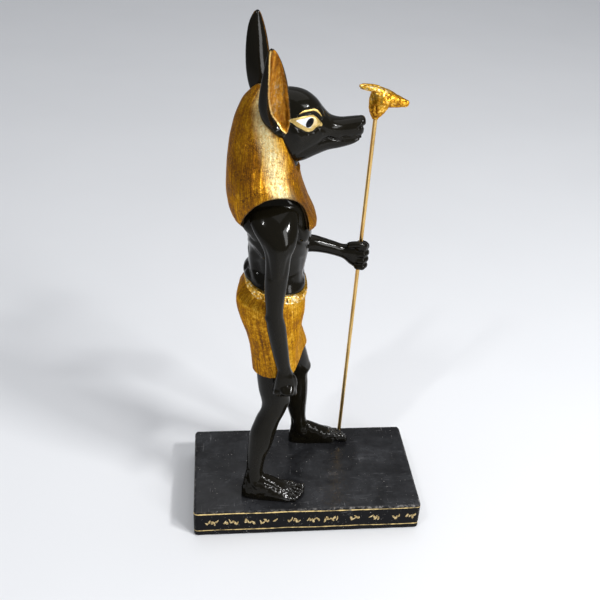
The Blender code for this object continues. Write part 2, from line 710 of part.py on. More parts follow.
def make_figure(black, gold, collection, cutters):
    parts = bpy.data.collections.new("figure_forms")
    bpy.context.scene.collection.children.link(parts)
    torso = solid(
        "figure", [on_figure(ring) for ring in level_rings(with_y(TORSO, MEDIAN_Y), 24, 1, 2.15)],
        black, collection, helper=False,
    )
    for side, name in ((-1, "right"), (1, "left")):
        breast = with_y(BREAST, MEDIAN_Y + side * BREAST_FROM_MEDIAN)
        form(f"breast_{name}", level_rings(breast, 12), black, parts)
    form("waist", level_rings(with_y(WAIST, MEDIAN_Y), 24, 1, WAIST_POWER), black, parts)
    make_head(black, parts)
    make_ear("ear_right", RIGHT_EAR, -1, black, gold, parts, cutters)
    make_ear("ear_left", LEFT_EAR, 1, black, gold, parts, cutters)
    make_wig(gold, parts, cutters)
    make_kilt_and_belt(gold, parts)
    form("right_arm", level_rings(RIGHT_ARM, 12), black, parts)
    form("left_upper_arm", level_rings(LEFT_UPPER_ARM, 12), black, parts)
    form("left_forearm", upright_rings(LEFT_FOREARM, 12), black, parts)
    form("right_leg", level_rings(RIGHT_LEG, 14), black, parts)
    form("left_leg", level_rings(LEFT_LEG, 14), black, parts)
    make_foot("right", RIGHT_HEEL, RIGHT_FOOT_TURN, -1, black, parts)
    make_foot("left", LEFT_HEEL, LEFT_FOOT_TURN, 1, black, parts)
    make_hands(black, parts)
    join(torso, parts)
    low = (STAFF_GRIP[2] - FIST_BORE_HALF_LENGTH) * MODULE
    high = (STAFF_GRIP[2] + FIST_BORE_HALF_LENGTH) * MODULE
    cut(torso, rod("fist_bore", bore_radius, low, high, gold, cutters))
    return torso


def make_plinth(finish, collection, cutters):
    mesh_maker = bmesh.new()
    bmesh.ops.create_cube(mesh_maker, size=1)
    bmesh.ops.scale(mesh_maker, vec=(PLINTH_LENGTH, PLINTH_WIDTH, PLINTH_THICKNESS), verts=mesh_maker.verts)
    bmesh.ops.translate(mesh_maker, vec=(0, 0, PLINTH_THICKNESS / 2), verts=mesh_maker.verts)
    upright = [edge for edge in mesh_maker.edges if abs(edge.verts[0].co.z - edge.verts[1].co.z) > TOUCH_GAP]
    bmesh.ops.bevel(mesh_maker, geom=upright, offset=PLINTH_CORNER_RADIUS, segments=4, profile=0.5,
                    affect="EDGES")
    rim = [edge for edge in mesh_maker.edges if min(v.co.z for v in edge.verts) > PLINTH_THICKNESS - TOUCH_GAP]
    bmesh.ops.bevel(mesh_maker, geom=rim, offset=PLINTH_EDGE_RADIUS, segments=2, profile=0.5, affect="EDGES")
    mesh = bpy.data.meshes.new("plinth")
    mesh_maker.to_mesh(mesh)
    mesh_maker.free()
    mesh.materials.append(finish)
    plinth = bpy.data.objects.new("plinth", mesh)
    collection.objects.link(plinth)
    cut(plinth, rod("plinth_socket", bore_radius, -STAFF_SOCKET_DEPTH, 2 * STAFF_SOCKET_DEPTH, finish, cutters))


def make_staff_head(finish, collection, cutters):
    foot, direction = staff_axis()
    scale = STAFF_HEAD_LENGTH / (STAFF_HEAD_SKULL[-1][0] - STAFF_HEAD_EAR[-1][0])
    under = foot + direction * (STAFF_ABOVE_PLINTH - STAFF_HEAD_SOCKET_DEPTH) / direction[2]

    def placed(rings):
        return [under + scale * ring for ring in rings]

    parts = bpy.data.collections.new("staff_head_forms")
    bpy.context.scene.collection.children.link(parts)
    head = solid(
        "staff_head", placed(level_rings(with_y(STAFF_HEAD_NECK, 0), 18)), finish, collection, helper=False
    )
    solid("staff_skull", placed(upright_rings(with_y(STAFF_HEAD_SKULL, 0), 16)), finish, parts)
    for side, name in ((-1, "right"), (1, "left")):
        ear = [(x, side * out, z, wide, high) for x, out, z, wide, high in STAFF_HEAD_EAR]
        solid(f"staff_ear_{name}", placed(upright_rings(ear, 8)), finish, parts)
        brow = with_y(STAFF_HEAD_BROW, side * STAFF_HEAD_BROW_FROM_MIDDLE)
        solid(f"staff_brow_{name}", placed(upright_rings(brow, 8)), finish, parts)
    join(head, parts)
    top = STAFF_ABOVE_PLINTH + TOUCH_GAP
    low = STAFF_ABOVE_PLINTH - 2 * STAFF_HEAD_SOCKET_DEPTH
    cut(head, rod("head_socket", bore_radius, low, top, finish, cutters))


def main():
    for old in list(bpy.data.objects):
        bpy.data.objects.remove(old, do_unlink=True)
    collection = bpy.context.scene.collection
    cutters = bpy.data.collections.new("cutters")
    collection.children.link(cutters)
    black = material("black_lacquer", BLACK_LACQUER, 0.16, 0.0)
    gold = material("antique_gold", ANTIQUE_GOLD, 0.42, 1.0)
    make_plinth(black, collection, cutters)
    make_figure(black, gold, collection, cutters)
    rod("staff_shaft", staff_radius, TOUCH_GAP - STAFF_SOCKET_DEPTH, STAFF_ABOVE_PLINTH, gold, collection,
        helper=False)
    make_staff_head(gold, collection, cutters)


main()
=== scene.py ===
"""Striding jackal-headed statuette: black lacquer and antique gold, on a black slab, with a gilt staff.

The figure's forms are given in modules of its own height, from the soles up, and turned into metres
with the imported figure's box. Every surface is a procedural material.
"""

import math

import bmesh
import bpy
import numpy as np
from mathutils import Matrix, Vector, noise


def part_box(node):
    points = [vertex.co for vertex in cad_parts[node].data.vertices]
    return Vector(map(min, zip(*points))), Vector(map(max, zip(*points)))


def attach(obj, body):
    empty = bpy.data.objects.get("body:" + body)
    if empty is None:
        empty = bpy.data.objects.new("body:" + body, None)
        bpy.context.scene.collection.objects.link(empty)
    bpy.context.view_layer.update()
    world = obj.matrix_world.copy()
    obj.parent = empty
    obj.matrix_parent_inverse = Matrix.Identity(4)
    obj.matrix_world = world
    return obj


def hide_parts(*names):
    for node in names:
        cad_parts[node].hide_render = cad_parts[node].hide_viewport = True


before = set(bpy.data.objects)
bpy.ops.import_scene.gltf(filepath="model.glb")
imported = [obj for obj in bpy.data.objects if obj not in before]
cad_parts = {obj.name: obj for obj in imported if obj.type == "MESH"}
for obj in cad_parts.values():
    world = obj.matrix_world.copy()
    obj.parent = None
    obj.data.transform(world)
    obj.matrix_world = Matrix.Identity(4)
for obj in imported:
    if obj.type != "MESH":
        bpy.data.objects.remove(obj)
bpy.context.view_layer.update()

figure_low, figure_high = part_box("figure")
plinth_low, plinth_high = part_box("plinth")
rod_low, rod_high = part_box("staff_shaft")

MM = 0.001
FIGURE_HEIGHT = 289.0  # in modules
UNIT = (figure_high.z - figure_low.z) / FIGURE_HEIGHT
SOLES = np.array([0.0, 0.0, figure_low.z])
SINK = (figure_low.z - plinth_high.z) / UNIT + 0.2  # how far the soles go down to meet the slab
MEDIAN = 3.0  # y of the figure's middle plane
FAR = 9.0  # stands for any distance that is too long to matter

# Torso and neck: x, height, half-depth, half-width
TORSO = (
    (-25, 134.7, 16, 18), (-23, 146.7, 15.4, 17.6), (-22.1, 159.7, 16.4, 17.6), (-21.7, 168.7, 17.2, 19.4),
    (-21.9, 177.7, 18, 21.8), (-23, 187.7, 16.4, 22), (-24.2, 196.7, 14, 19.5), (-24.4, 202.7, 11, 14),
    (-23.4, 208.7, 9.2, 10.8), (-22.2, 217.7, 9.4, 9.7), (-21, 228.7, 9.4, 9.6),
)
NECK = (
    (-24, 203.7, 9.8, 12), (-23.6, 210.7, 9, 10.4), (-22.4, 217.7, 9.2, 9.6), (-20.6, 225.7, 9.6, 9.6),
    (-20, 232.7, 9.4, 9.4),
)
BREAST = (
    (-11.2, 173.4, 2.5, 4), (-11.2, 176.6, 5.4, 8), (-12.2, 181.6, 6.2, 9.4), (-15, 188.6, 5.2, 9.4),
    (-18, 194.6, 3, 6),
)

# Flare of the hips above the belt: x, height, half-depth, half-width
WAIST = (
    (-22.8, 141.5, 16.6, 20.6), (-22.8, 145.4, 16.9, 21.2), (-22.8, 147.4, 16.6, 20.4),
    (-22.8, 150.2, 15.8, 18.8), (-22.6, 155, 15.4, 17.4),
)

# Head above the mouth and lower jaw: x, centre height, half-width, half-height
HEAD = (
    (-37, 234.7, 9, 15), (-30, 235.2, 12.2, 19.5), (-19, 236.3, 13, 19.5), (-11, 237.5, 12.2, 16.9),
    (-5, 237.6, 10.4, 12.8), (-1, 237.1, 8.8, 8.5), (3, 236, 7.4, 5.7), (8, 235.5, 6.4, 4.9),
    (13, 235.8, 5.9, 5), (17, 236.2, 5.4, 5.1), (19, 236.4, 4.8, 4.9), (20.2, 236.3, 3.4, 3.9),
)
NOSE = (
    (16.4, 239.6, 2.4, 1.3), (18.6, 239.5, 3.6, 2.1), (20.2, 239.1, 3.4, 2.3), (21.1, 238.7, 2.2, 1.6),
)
JAW = (
    (-20, 225.3, 9.6, 9.8), (-11, 226.2, 9.6, 8.6), (-4, 227.8, 8.3, 7), (2, 229, 6.7, 5.8),
    (8, 229, 5.7, 4.5), (14, 229.6, 4.9, 3.3), (17.4, 230.4, 4.2, 2.3), (19.3, 231.1, 3, 1.4),
)

# Ears: x, distance from the median, height, half-width, half-depth
RIGHT_EAR = (
    (-23.4, 14, 235.2, 2, 2.4), (-24.8, 14.8, 238.7, 4.6, 3.8), (-26.2, 15.6, 243.2, 6.9, 4.6),
    (-27.5, 16.4, 249.7, 7.9, 4.6), (-28, 17.4, 257.2, 7.4, 4.1), (-28.2, 18.4, 265.2, 6.1, 3.4),
    (-28.7, 19.2, 272.7, 4.3, 2.5), (-29.5, 19.8, 278.4, 2.3, 1.5), (-30, 20, 280.6, 0.7, 0.6),
)
LEFT_EAR = (
    (-25.6, 14, 236.2, 2.4, 2.4), (-28.2, 15, 241.7, 5.4, 3.9), (-31.2, 16, 249.2, 6.9, 4.5),
    (-33.2, 16.8, 257.7, 7, 4.3), (-34.4, 17.8, 266.7, 6.4, 3.8), (-35, 18.6, 275.7, 5.4, 3),
    (-35.3, 19.2, 282.7, 3.9, 2.2), (-35.1, 19.6, 287.3, 2, 1.3), (-34.9, 19.7, 288.9, 0.6, 0.5),
)

# Wig: height, back x, front x, half-width, squareness
WIG = (
    (256.2, -36.5, -29, 5, 2.2), (253.7, -39.3, -23, 9.5, 2.2), (248.7, -43.5, -18, 13, 2.2),
    (241.7, -46.3, -15, 15.4, 2.2), (233.7, -48.4, -12, 16.8, 2.2), (226.7, -49.8, -10, 18.2, 2.2),
    (219.7, -50.6, -10.5, 20.8, 2.2), (213.7, -51, -11.9, 24.2, 2.2), (208.7, -51.1, -11, 27.2, 2.2),
    (202.7, -51.1, -9, 28, 2.3), (195.7, -50.6, -6.2, 26.4, 2.5), (190.2, -49, -3.6, 24.6, 2.8),
    (186.4, -47, -1.9, 23, 3), (183.4, -44, -1.6, 21, 3),
)
FACE_OPENING = (-14, 214.7, 0.45)
ARCH = (-25.5, 184.7, 17.9, 21.7, 15.5)  # x, height, half-span, rise, distance from the median

# Kilt: height, tilt, then x, y, half-depth and half-width round the right and left thigh
KILT = (
    (145.2, 2.4, -22.8, -1, 15.4, 15.6, -22.8, 7, 15.4, 15.6),
    (142.7, 2.2, -23.2, -1.6, 16.9, 16.6, -22.9, 7.6, 16.9, 16.6),
    (139.6, 1.8, -24.5, -2.4, 18.6, 17.8, -23.9, 8.4, 18, 17.8),
    (135.7, 1.2, -25.6, -3, 19.8, 18.3, -24.5, 9, 19, 18.3),
    (128.7, 0.6, -25.4, -4, 19.3, 18.3, -24, 10, 18.2, 18.3),
    (121.7, 0, -24.8, -5.5, 17.5, 17.2, -22.5, 11.5, 15.6, 17),
    (114.7, 0, -23.8, -7, 15.9, 16, -20.6, 13, 13.6, 15),
    (107.7, 0, -23.5, -8.5, 14.4, 14.4, -19, 14.5, 12.6, 13.4),
    (102.7, 0, -23.3, -9.5, 13.8, 13.2, -16.9, 15.2, 12.5, 12.6),
    (96.2, 0, -23, -10.2, 13.4, 12.4, -14.8, 15.5, 12.5, 12.2),
    (91.4, 0, -22.8, -10.7, 13.1, 12.2, -13.4, 15.5, 12.4, 12),
)
BELT = (-22.7, 140.5, 17.2, 22.2, 2.4, 5.8)  # x, foot's height, half-depth, half-width, tilt, breadth

# Limbs: x, y, height, half-depth, half-width
RIGHT_ARM = (
    (-24.6, -9.5, 200.5, 4.5, 3), (-25.2, -10.8, 198.8, 8.2, 5.5), (-25.9, -13.5, 195.4, 11.9, 7.4),
    (-26.2, -16.6, 191.3, 12.9, 8.5), (-25.4, -19.4, 187, 12.1, 9), (-24.4, -21.8, 183, 10.5, 8.5),
    (-23.9, -23.5, 179, 8.7, 7.7), (-24.1, -24.3, 174, 7, 6.8), (-24.3, -24.7, 166.7, 6.5, 6),
    (-24.9, -25.2, 155.7, 6.2, 5.4), (-25.2, -25.6, 145.2, 5.2, 4.9), (-25, -25.8, 137.7, 4.9, 4.8),
    (-23.7, -25.8, 129.2, 5.4, 5), (-21.6, -25.8, 116.2, 4.9, 4.5), (-19.7, -25.8, 105.7, 4.3, 4),
    (-18.6, -25.9, 100.2, 3.9, 3.8), (-18.2, -26, 96, 3.6, 3.4),
)
RIGHT_PALM = (
    (-18.7, -25.8, 103.6, 3.4, 3.3), (-18.3, -25.9, 99.6, 4.2, 3.9), (-17.8, -26.2, 96, 5.3, 4.5),
    (-17.7, -26.4, 91, 6.1, 4.9), (-17.6, -26.4, 86.6, 6.8, 4.8), (-17.5, -26.2, 84.2, 7, 4.2),
    (-17.5, -26, 83.2, 5.8, 3),
)
RIGHT_KNUCKLES = (
    (-16.6, -28.4, 93.2, 2.8, 1.9), (-16.6, -29, 91.8, 3.7, 2.7), (-16.6, -29.7, 90.4, 4.2, 3.6),
    (-16.6, -30.3, 89, 4.2, 4.3), (-16.6, -30.2, 87.6, 4, 3.9), (-16.6, -29.2, 86.2, 3.2, 2.8),
)
# Shoulder blade and the flesh before the armpit, which fill the wig's arch, on the right side
SHOULDER = (
    (-25.5, -8, 204.2, 7.1, 6.5), (-25.5, -8, 200.2, 11.9, 7.6), (-25.5, -8, 195.2, 15.2, 8.2),
    (-25.5, -8, 190.2, 16.8, 8.8), (-25.5, -8, 186.4, 17.4, 9), (-25.5, -7.8, 184.2, 17.2, 8.8),
    (-25.1, -7.4, 181.4, 15.9, 8.4), (-24.4, -7, 178, 13.6, 8), (-23.4, -6.6, 173.5, 10.8, 7.6),
)
LEFT_UPPER_ARM = (
    (-24.6, 15.5, 200.5, 4.5, 3), (-25.2, 16.8, 198.8, 8.2, 5.5), (-25.9, 19.5, 195.4, 11.9, 7.4),
    (-26.2, 22.6, 191.3, 12.9, 8.5), (-25.6, 25.3, 187, 12, 8.8), (-25, 27.6, 183, 9.4, 8.3),
    (-25.2, 29.2, 178.7, 8, 7.2), (-26, 30.2, 170.7, 6.8, 6.2), (-27, 31.2, 158.7, 6, 5.5),
    (-27.2, 31.9, 150.7, 5.3, 5.1), (-26.8, 32.2, 146.2, 3.6, 3.6),
)
LEFT_FOREARM = (
    (-32.4, 32, 150.6, 2.4, 2.6), (-29, 32, 150.4, 4.5, 4.8), (-22, 32.2, 150.6, 5.3, 5.6),
    (-12, 32.4, 151, 5.3, 5.7), (1, 32.6, 151, 5, 5.4), (8, 32.7, 149.5, 4.5, 4.8),
    (15, 32.8, 147.3, 4, 4.5), (20.5, 32.9, 145.2, 3.8, 4.7), (25, 33, 143.4, 4.4, 7),
    (29, 33.1, 142.6, 4.4, 8.6), (33, 33.1, 142.5, 3.6, 8.2),
)
RIGHT_LEG = (
    (-22.6, -10.2, 100.7, 11, 10.3), (-22.7, -10.9, 85.7, 10.4, 9.8), (-22.4, -12, 75.7, 9.5, 9),
    (-21.9, -13.4, 68.2, 8.3, 8), (-23.1, -14.4, 61.7, 7.9, 7.4), (-26.4, -15.5, 53.7, 7.6, 7.1),
    (-28.9, -16.8, 45.7, 7.9, 7.2), (-30.5, -18, 37.7, 7.4, 6.7), (-32.4, -19.2, 29.7, 6, 5.6),
    (-33.6, -20.4, 20.7, 5.3, 4.9), (-34.2, -21.4, 13.7, 5.9, 5.2), (-34.6, -22.2, 6.7, 6.6, 5.3),
    (-34.6, -22.4, 1, 6.4, 5),
)
LEFT_LEG = (
    (-16.4, 15.5, 104.7, 9, 9.6), (-13.3, 15.5, 93.7, 10, 9.9), (-11.2, 15.8, 85.7, 10.2, 9.7),
    (-8.2, 16.8, 76.7, 9.5, 9), (-6.2, 18.2, 70.2, 8.4, 8), (-6.4, 19.5, 62.7, 7.9, 7.4),
    (-5.6, 20.9, 54.7, 7.7, 7.1), (-5.4, 22.5, 45.7, 7.9, 7.2), (-4.8, 24, 37.7, 7.4, 6.7),
    (-3.6, 25.5, 29.7, 6.2, 5.7), (-2.2, 26.6, 20.7, 5.2, 4.9), (-1, 27.2, 13.7, 5.7, 5.2),
    (-0.8, 27.6, 6.7, 6.4, 5.3), (-0.8, 27.6, 1, 6.2, 5),
)
# Foot: distance from the heel, half-width, height of the instep
FOOT = (
    (0, 2.4, 5.5), (1.6, 4.4, 9.5), (5.5, 5.4, 14), (11.5, 5.7, 16.4), (17, 6, 14.2), (22, 6.4, 11.2),
    (27, 6.7, 8.4), (30.5, 6.8, 6.4), (33.2, 6.5, 4.8),
)
# Toes: distance inwards from the foot's middle line, reach from the heel, radius
TOES = ((4.6, 40.2, 2.4), (1.4, 39.6, 1.75), (-1.3, 38.3, 1.6), (-3.7, 36.7, 1.5), (-5.7, 34.8, 1.4))
RIGHT_FOOT = (-41.8, -22.4, math.radians(-5.5), -1)
LEFT_FOOT = (-7.8, 27.6, math.radians(1.5), 1)
GRIP = (30.7, 33, 142.5)

# Painted eye as the camera sees it on the plane EYE_PLANE: x and height
VIEW_FROM = (-57.27, -406.92, 388.09)
EYE_PLANE = -8.5
LIP_PLANE = -3.0
EYE_OUTER = (
    (-20.6, 242.6), (-18.1, 243.6), (-15.8, 244.1), (-13.3, 244.8), (-10.8, 245.2), (-9.1, 245.7),
    (-7.6, 245.7), (-5.8, 244.5), (-4.4, 243), (-3.1, 241.6), (-3.1, 240.4), (-4.5, 239.9), (-6, 239.1),
    (-7.4, 237.6), (-9.4, 236.8), (-11.2, 237.1), (-13.3, 238.3), (-15.9, 239.6), (-18, 241.3),
)
EYE_INNER = (
    (-16.5, 242.6), (-14.3, 243.4), (-11.8, 243.9), (-10.1, 244.5), (-8.8, 244.7), (-7, 244.2),
    (-5.7, 242.7), (-5.3, 241.5), (-6.6, 240.4), (-9, 238.8), (-10.5, 239), (-11.8, 239.8), (-14.2, 241.1),
)
PUPIL = (-9.2, 241.6, 2.85, 1.65, math.radians(61))
BROW = ((-14.9, 246), (-13.4, 247), (-12, 247.6), (-9.5, 248.1), (-7.4, 248.5), (-5.9, 248),
        (-4.5, 246.7), (-3.3, 245))
BROW_WIDTH = ((-14.9, 0.12), (-12, 0.5), (-9.5, 0.42), (-7.2, 0.62), (-5.9, 0.52), (-4.5, 0.32), (-3.3, 0.08))

# Staff head, in millimetres from a point STAFF_HEAD_SINK below the middle of the rod's top end
STAFF_NECK = (
    (-0.2, 0, -2.6, 1.6, 1.6), (-0.1, 0, -1.4, 2.3, 2.2), (0.4, 0, 0.8, 3.9, 3.6), (1, 0, 3.8, 5.3, 4.6),
    (1.4, 0, 7, 5.9, 5), (1.4, 0, 9.9, 5.7, 4.8), (0.8, 0, 12.6, 4.2, 4),
)
STAFF_SKULL = (
    (-3.6, 0, 11, 2, 2.4), (-1.4, 0, 11.1, 4.1, 4), (2.2, 0, 10.4, 4.9, 4.9), (6.2, 0, 9.2, 4.4, 4.8),
    (9.6, 0, 8.2, 3.7, 4), (13, 0, 7.3, 3, 3), (16, 0, 6.7, 2.4, 2.2), (17.8, 0, 6.5, 1.5, 1.5),
)
STAFF_EAR = (
    (4, 1.6, 12.9, 1.7, 1.3), (0, 1.7, 14.4, 2.2, 1.6), (-5, 1.7, 15.2, 2.1, 1.4),
    (-8.4, 1.6, 15.5, 1.6, 1.1), (-10.3, 1.4, 15.6, 0.8, 0.6),
)

SIDES = (-1, 1)  # the right side and the left one
BREAST_FROM_MEDIAN = 9.6
# The soft rolls over the belt, behind and in front: middle and half-axes
BELLY = (((-35.6, MEDIAN + 2, 149.4), (5.7, 13, 4.8)), ((-12.4, MEDIAN + 1, 147.6), (6.4, 12, 5.2)))

# Fingers and thumbs: the middle of a curl, its half-axes, where it starts and ends, and its radius
FINGER_COUNT = 4
RIGHT_FINGERS_X = (-22.7, -12.4)
RIGHT_CURL_AT = (-25.9, 87.3)  # y and height
RIGHT_CURL = ((0, -3.1, 0), (0, 0, -3.0), 0.5, 3.9, 1.85)
RIGHT_THUMB = ((-15.6, -27.0, 91.0), (3.2, 0, 0), (0, 0, -6.0), -1.3, 1.2, 1.9)
PALM_LUMPS = (((-20.4, -30.2, 87.4), (2.1, 1.9, 2.4)), ((-22.8, -29.6, 86.8), (1.6, 1.7, 2.2)))
LEFT_FINGERS_Z = (135.9, 149.0)
LEFT_REACHES = (3.6, 3.9, 4.0, 3.7)
LEFT_CURL = ((0, 3.2, 0), 2.1, -2.55, 2.0)
LEFT_KNUCKLE_FROM_GRIP = (1.5, -3.6)
LEFT_KNUCKLE = (2.1, 1.9, 2.0)
LEFT_THUMB = ((27.4, 30.2, 148.9), (6.4, 0, 0), (0, -0.8, 2.8), 2.6, 0.15, 2.0)

# Inner and outer half of a foot: how far in, share of the height, share of the width, squareness
FOOT_LOBES = ((1.2, 1.0, 0.88, 2.2), (-1.4, 0.80, 0.88, 2.0))
# Toe from its root to its tip, in its radii: distance back from the tip, width, and height of its middle
TOE_ROOT = 25.5
TOE = (
    (4.8, 0.90, 2.3), (3.6, 1.12, 2.0), (2.6, 0.86, 1.5), (1.6, 0.92, 1.25), (0.7, 1.08, 1.15),
    (0.15, 0.74, 1.0), (0.0, 0.3, 0.9),
)
# The nail and the fold behind it, in radii of the toe: distance back, height, width and lift
NAIL = ((0.95, 2.1, 0.5, -0.16), (1.75, 2.3, 0.35, 0.14))
CLEFT_START = ((28.5, 7.0), (31.5, 5.2))  # reach and height of the cleft between two toes
CLEFT_END_HEIGHT, CLEFT_WIDTH, CLEFT_LIFT = 2.2, 0.65, -1.0

# Sculpted features: a polyline, how wide and how high it stands. A height below zero makes a groove.
TORSO_FEATURES = (
    ([(-40.5, 3, 152), (-41, 3, 180)], 2.2, -1.2),
    ([(-5.5, 3, 150), (-4, 3, 174)], 1.6, -0.5),
    ([(-6.4, 3, 152.5)], 1.2, -1.4),
    ([(-15.9, -31.2, 92.6)], 0.8, -0.5),
    ([(-25.6, -30, 181), (-25, -31, 174), (-24.6, -31, 164)], 1.7, 0.45),
    ([(-31, -27, 181), (-29.8, -28.6, 172), (-28.6, -29.4, 163)], 1.4, -0.5),
    ([(-18.6, -28, 181), (-19.8, -29, 173), (-20.6, -29.6, 165)], 1.4, -0.45),
    ([(-28.7, -27, 136.5)], 2.2, 0.9),
    ([(-32.2, 32, 148)], 2.2, 0.6),
    ([(20.6, 28.4, 146), (24, 26.4, 146.4)], 1.4, 0.4),
)
LEG_FEATURES = (
    *(([knee], 3.4, 0.9) for knee in ((-12.6, -16, 68), (2, 16, 71))),
    ([(-30.5, -12.5, 60), (-31, -13.5, 66)], 2.0, -0.6),
    ([(-14.2, 21, 62), (-14.4, 20, 68)], 2.0, -0.6),
    ([(-25, -24.4, 36), (-24.6, -23.4, 52)], 1.6, 0.4),
    ([(-33.2, -27.4, 11)], 2.3, 1.2),
    *(([ankle], 2.2, 0.9) for ankle in ((-28.4, -27.4, 9.4), (1.2, 22.6, 9.4))),
    *(([ankle], 2.3, 1.1) for ankle in ((-33.8, -17, 11.5), (0.4, 32.6, 10.5), (0.4, 22.4, 11.5))),
    *(([(x, low, 12), (x - back, high, 20)], 1.5, -0.7) for x, back, low, high in (
        (-38.8, 0.8, -25.2, -25), (-38.8, 0.8, -18.8, -18.8),
        (-5.6, 0.6, 24.6, 24.4), (-5.6, 0.6, 30.8, 30.6),
    )),
)

# Features as the camera sees them on the plane y = RIB_PLANE, LIP_PLANE or EYE_PLANE: x and height
RIB_PLANE = -14.0
TRUNK_BESIDE, TRUNK_HEIGHTS, TRUNK_FRONT = (3, 22.4), (143, 200), 2  # where RIB_FEATURES count
RIB_FEATURES = (
    (((-38.2, 178.5), (-34.9, 174), (-31.3, 168.4)), 1.5, 0.9),
    (((-37, 172.5), (-33.6, 168.6)), 1.8, -0.6),
    (((-37.9, 170.2), (-36.8, 161.8), (-35.3, 154.9), (-33.2, 151)), 1.7, 0.8),
    (((-34.4, 164), (-32.6, 156)), 1.9, -0.6),
    (((-16, 180.5), (-13.4, 177.8), (-10.8, 176.4), (-8, 175.4)), 1.2, -0.8),
    (((-14.5, 186.8), (-13.1, 180.7), (-12.4, 176.4)), 1.3, -0.6),
    (((-9.6, 166), (-9.8, 158), (-9.2, 152)), 1.5, -0.45),
)
LIP_FEATURES = (
    (((1.6, 232.4), (4, 231.2), (7, 230.5), (10, 230.6), (14, 231.1), (17.5, 231.4), (20.4, 231)), 0.42, -0.6),
    (((4.2, 232.4), (7, 231.9), (9.6, 232.1), (12.2, 232.4), (14.2, 232.5), (16, 233.1)), 0.6, 0.3),
    (((17, 237), (18.4, 238), (19.4, 237.9)), 0.55, -0.8),
    (((17.4, 238.9), (18.4, 239.6), (19.6, 239.6)), 0.6, 0.2),
)
EYE_FEATURES = (
    (BROW, 1.0, 0.55),
    (((-15.5, 245.2), (-12, 246), (-8.5, 246.6), (-5.5, 246.2), (-3.6, 243.6)), 0.65, -0.45),
    (((-18.5, 241), (-13.2, 237.6), (-9.6, 235.9), (-6.6, 237), (-4.4, 238.9)), 0.8, -0.5),
    (((-5.1, 249.6), (-3.4, 247.3), (-1.2, 244.5), (0.4, 242.7)), 0.8, 0.4),
    (((-2.6, 236.2), (1.6, 234.9), (6, 234.4)), 1.2, 0.35),
    (((-2.4, 246.6), (-0.6, 243.6)), 0.8, -0.35),
    (((-15.8, 235.8), (-14, 233.8)), 2.3, 0.8),
    (((-4.4, 238), (-3, 236.6)), 0.8, 0.4),
    (EYE_INNER[:7], 0.5, 0.18),
)
FACE_BACK, PAINT_BACK = -20, -24  # x behind which the head has no features and no painted eyes
EARS_BEGIN = 9  # from the median
EYEBALL = ((-10.6, 9.2, 241.2), (7.2, 3.4, 4.6))
TEAR_DUCT = ((-3.5, 240.7), 0.7)
WHITE_ENDS, YELLOW_STARTS = -8.2, -8.6  # x on EYE_PLANE

# On the staff head, in millimetres from the same point as its tables. The second number is towards its side.
STAFF_FEATURES = (
    ([(5.8, 4, 10.7)], 0.9, -0.7),
    ([(8.6, 3, 10.2), (15, 1.8, 8.6)], 0.7, 0.35),
    ([(16.6, 1.4, 7.8)], 0.6, -0.5),
    ([(17.4, 1, 5.9), (11, 2.8, 5.9), (8, 3.6, 6.3)], 0.5, -0.45),
    ([(3.4, 4.8, 7.4)], 1.8, 0.7),
    ([(2, 0, 14.6), (-10, 0, 16.6)], 0.6, -0.35),
    ([(-3, 4.2, 11), (-1.8, 4.9, 6), (-1, 4, 1.5)], 0.8, -0.35),
)
STAFF_BROW = ((4.4, 3.2, 11.8), (2.6, 1.5, 1.5))

# Size of the voxels that each piece's skin is made with, in millimetres
VOXELS = {
    "torso": 0.54, "legs": 0.45, "head": 0.4, "wig": 0.5, "kilt": 0.5, "staff_head_cast": 0.26, "slab": 0.9,
}
EAR_SIDES, WIG_SIDES, ARCH_SIDES, KILT_SIDES, ROD_SIDES = 80, 180, 96, 160, 40
STRAND_RADIUS = 24  # of the round on which a piece's strands are told apart
ROD_RADIUS = 1.2 * MM
STAFF_HEAD_SINK = 1.0 * MM
PLINTH_CORNER, PLINTH_RIM, PLINTH_INSET = 2.4 * MM, 0.7 * MM, 0.12 * MM
UPPER_LINE = (plinth_high.z - 1.55 * MM, 0.34 * MM)  # height and half-width of the painted line
LOWER_LINE = (plinth_low.z + 4.5 * MM, 0.26 * MM)

# Painted marks: each group's x and how many strokes it has, then the strokes' leans
MARK_GROUPS = ((-61.0, 5), (-49.0, 6), (-37.4, 4), (-28.0, 4), (-20.9, 1), (-9.2, 5), (2.9, 5), (14.3, 6),
               (29.5, 4), (42.6, 4), (56.4, 3), (66.0, 4))
MARK_LEANS = (-0.65, 0.4, 0.1, -0.3, 0.85)
MARK_HEIGHT, MARK_SPACING = 11.2, 1.55
MARK_RELIEF = 0.10 * MM

# The photograph's camera, and the lamps: name, place, aim, width, height and power
CAMERA_LENS, CAMERA_SENSOR = 49.92, 36
CAMERA_AT = (-0.0572724, -0.4069227, 0.4083899)
CAMERA_RIGHT = np.array([0.9948, -0.0906, 0.0460])
CAMERA_DOWN = np.array([-0.0095, -0.5332, -0.8459])
CAMERA_AHEAD = np.array([0.1012, 0.8411, -0.5313])
TARGET = np.array([0, 0, 0.17])
LAMPS = (
    ("sky", (0.3, 0.6, 2.7), (0.1, 0.3, 0), 3.0, 3.0, 26.0),
    ("strip", TARGET + 1.2 * np.array([0.56, -0.68, 0.47]), TARGET, 0.22, 0.85, 6.5),
    ("window", TARGET + 1.25 * np.array([0.60, -0.43, 0.68]), TARGET, 0.21, 0.075, 9.0),
    ("spark", TARGET + 1.3 * np.array([-0.41, -0.41, 0.81]), TARGET, 0.03, 0.16, 2.4),
)
SKY_COLOUR, SKY_STRENGTH = (0.88, 0.91, 0.97, 1), 0.30
FLOOR_SIZE = 12


def metres(points):
    return SOLES + UNIT * np.asarray(points, float)


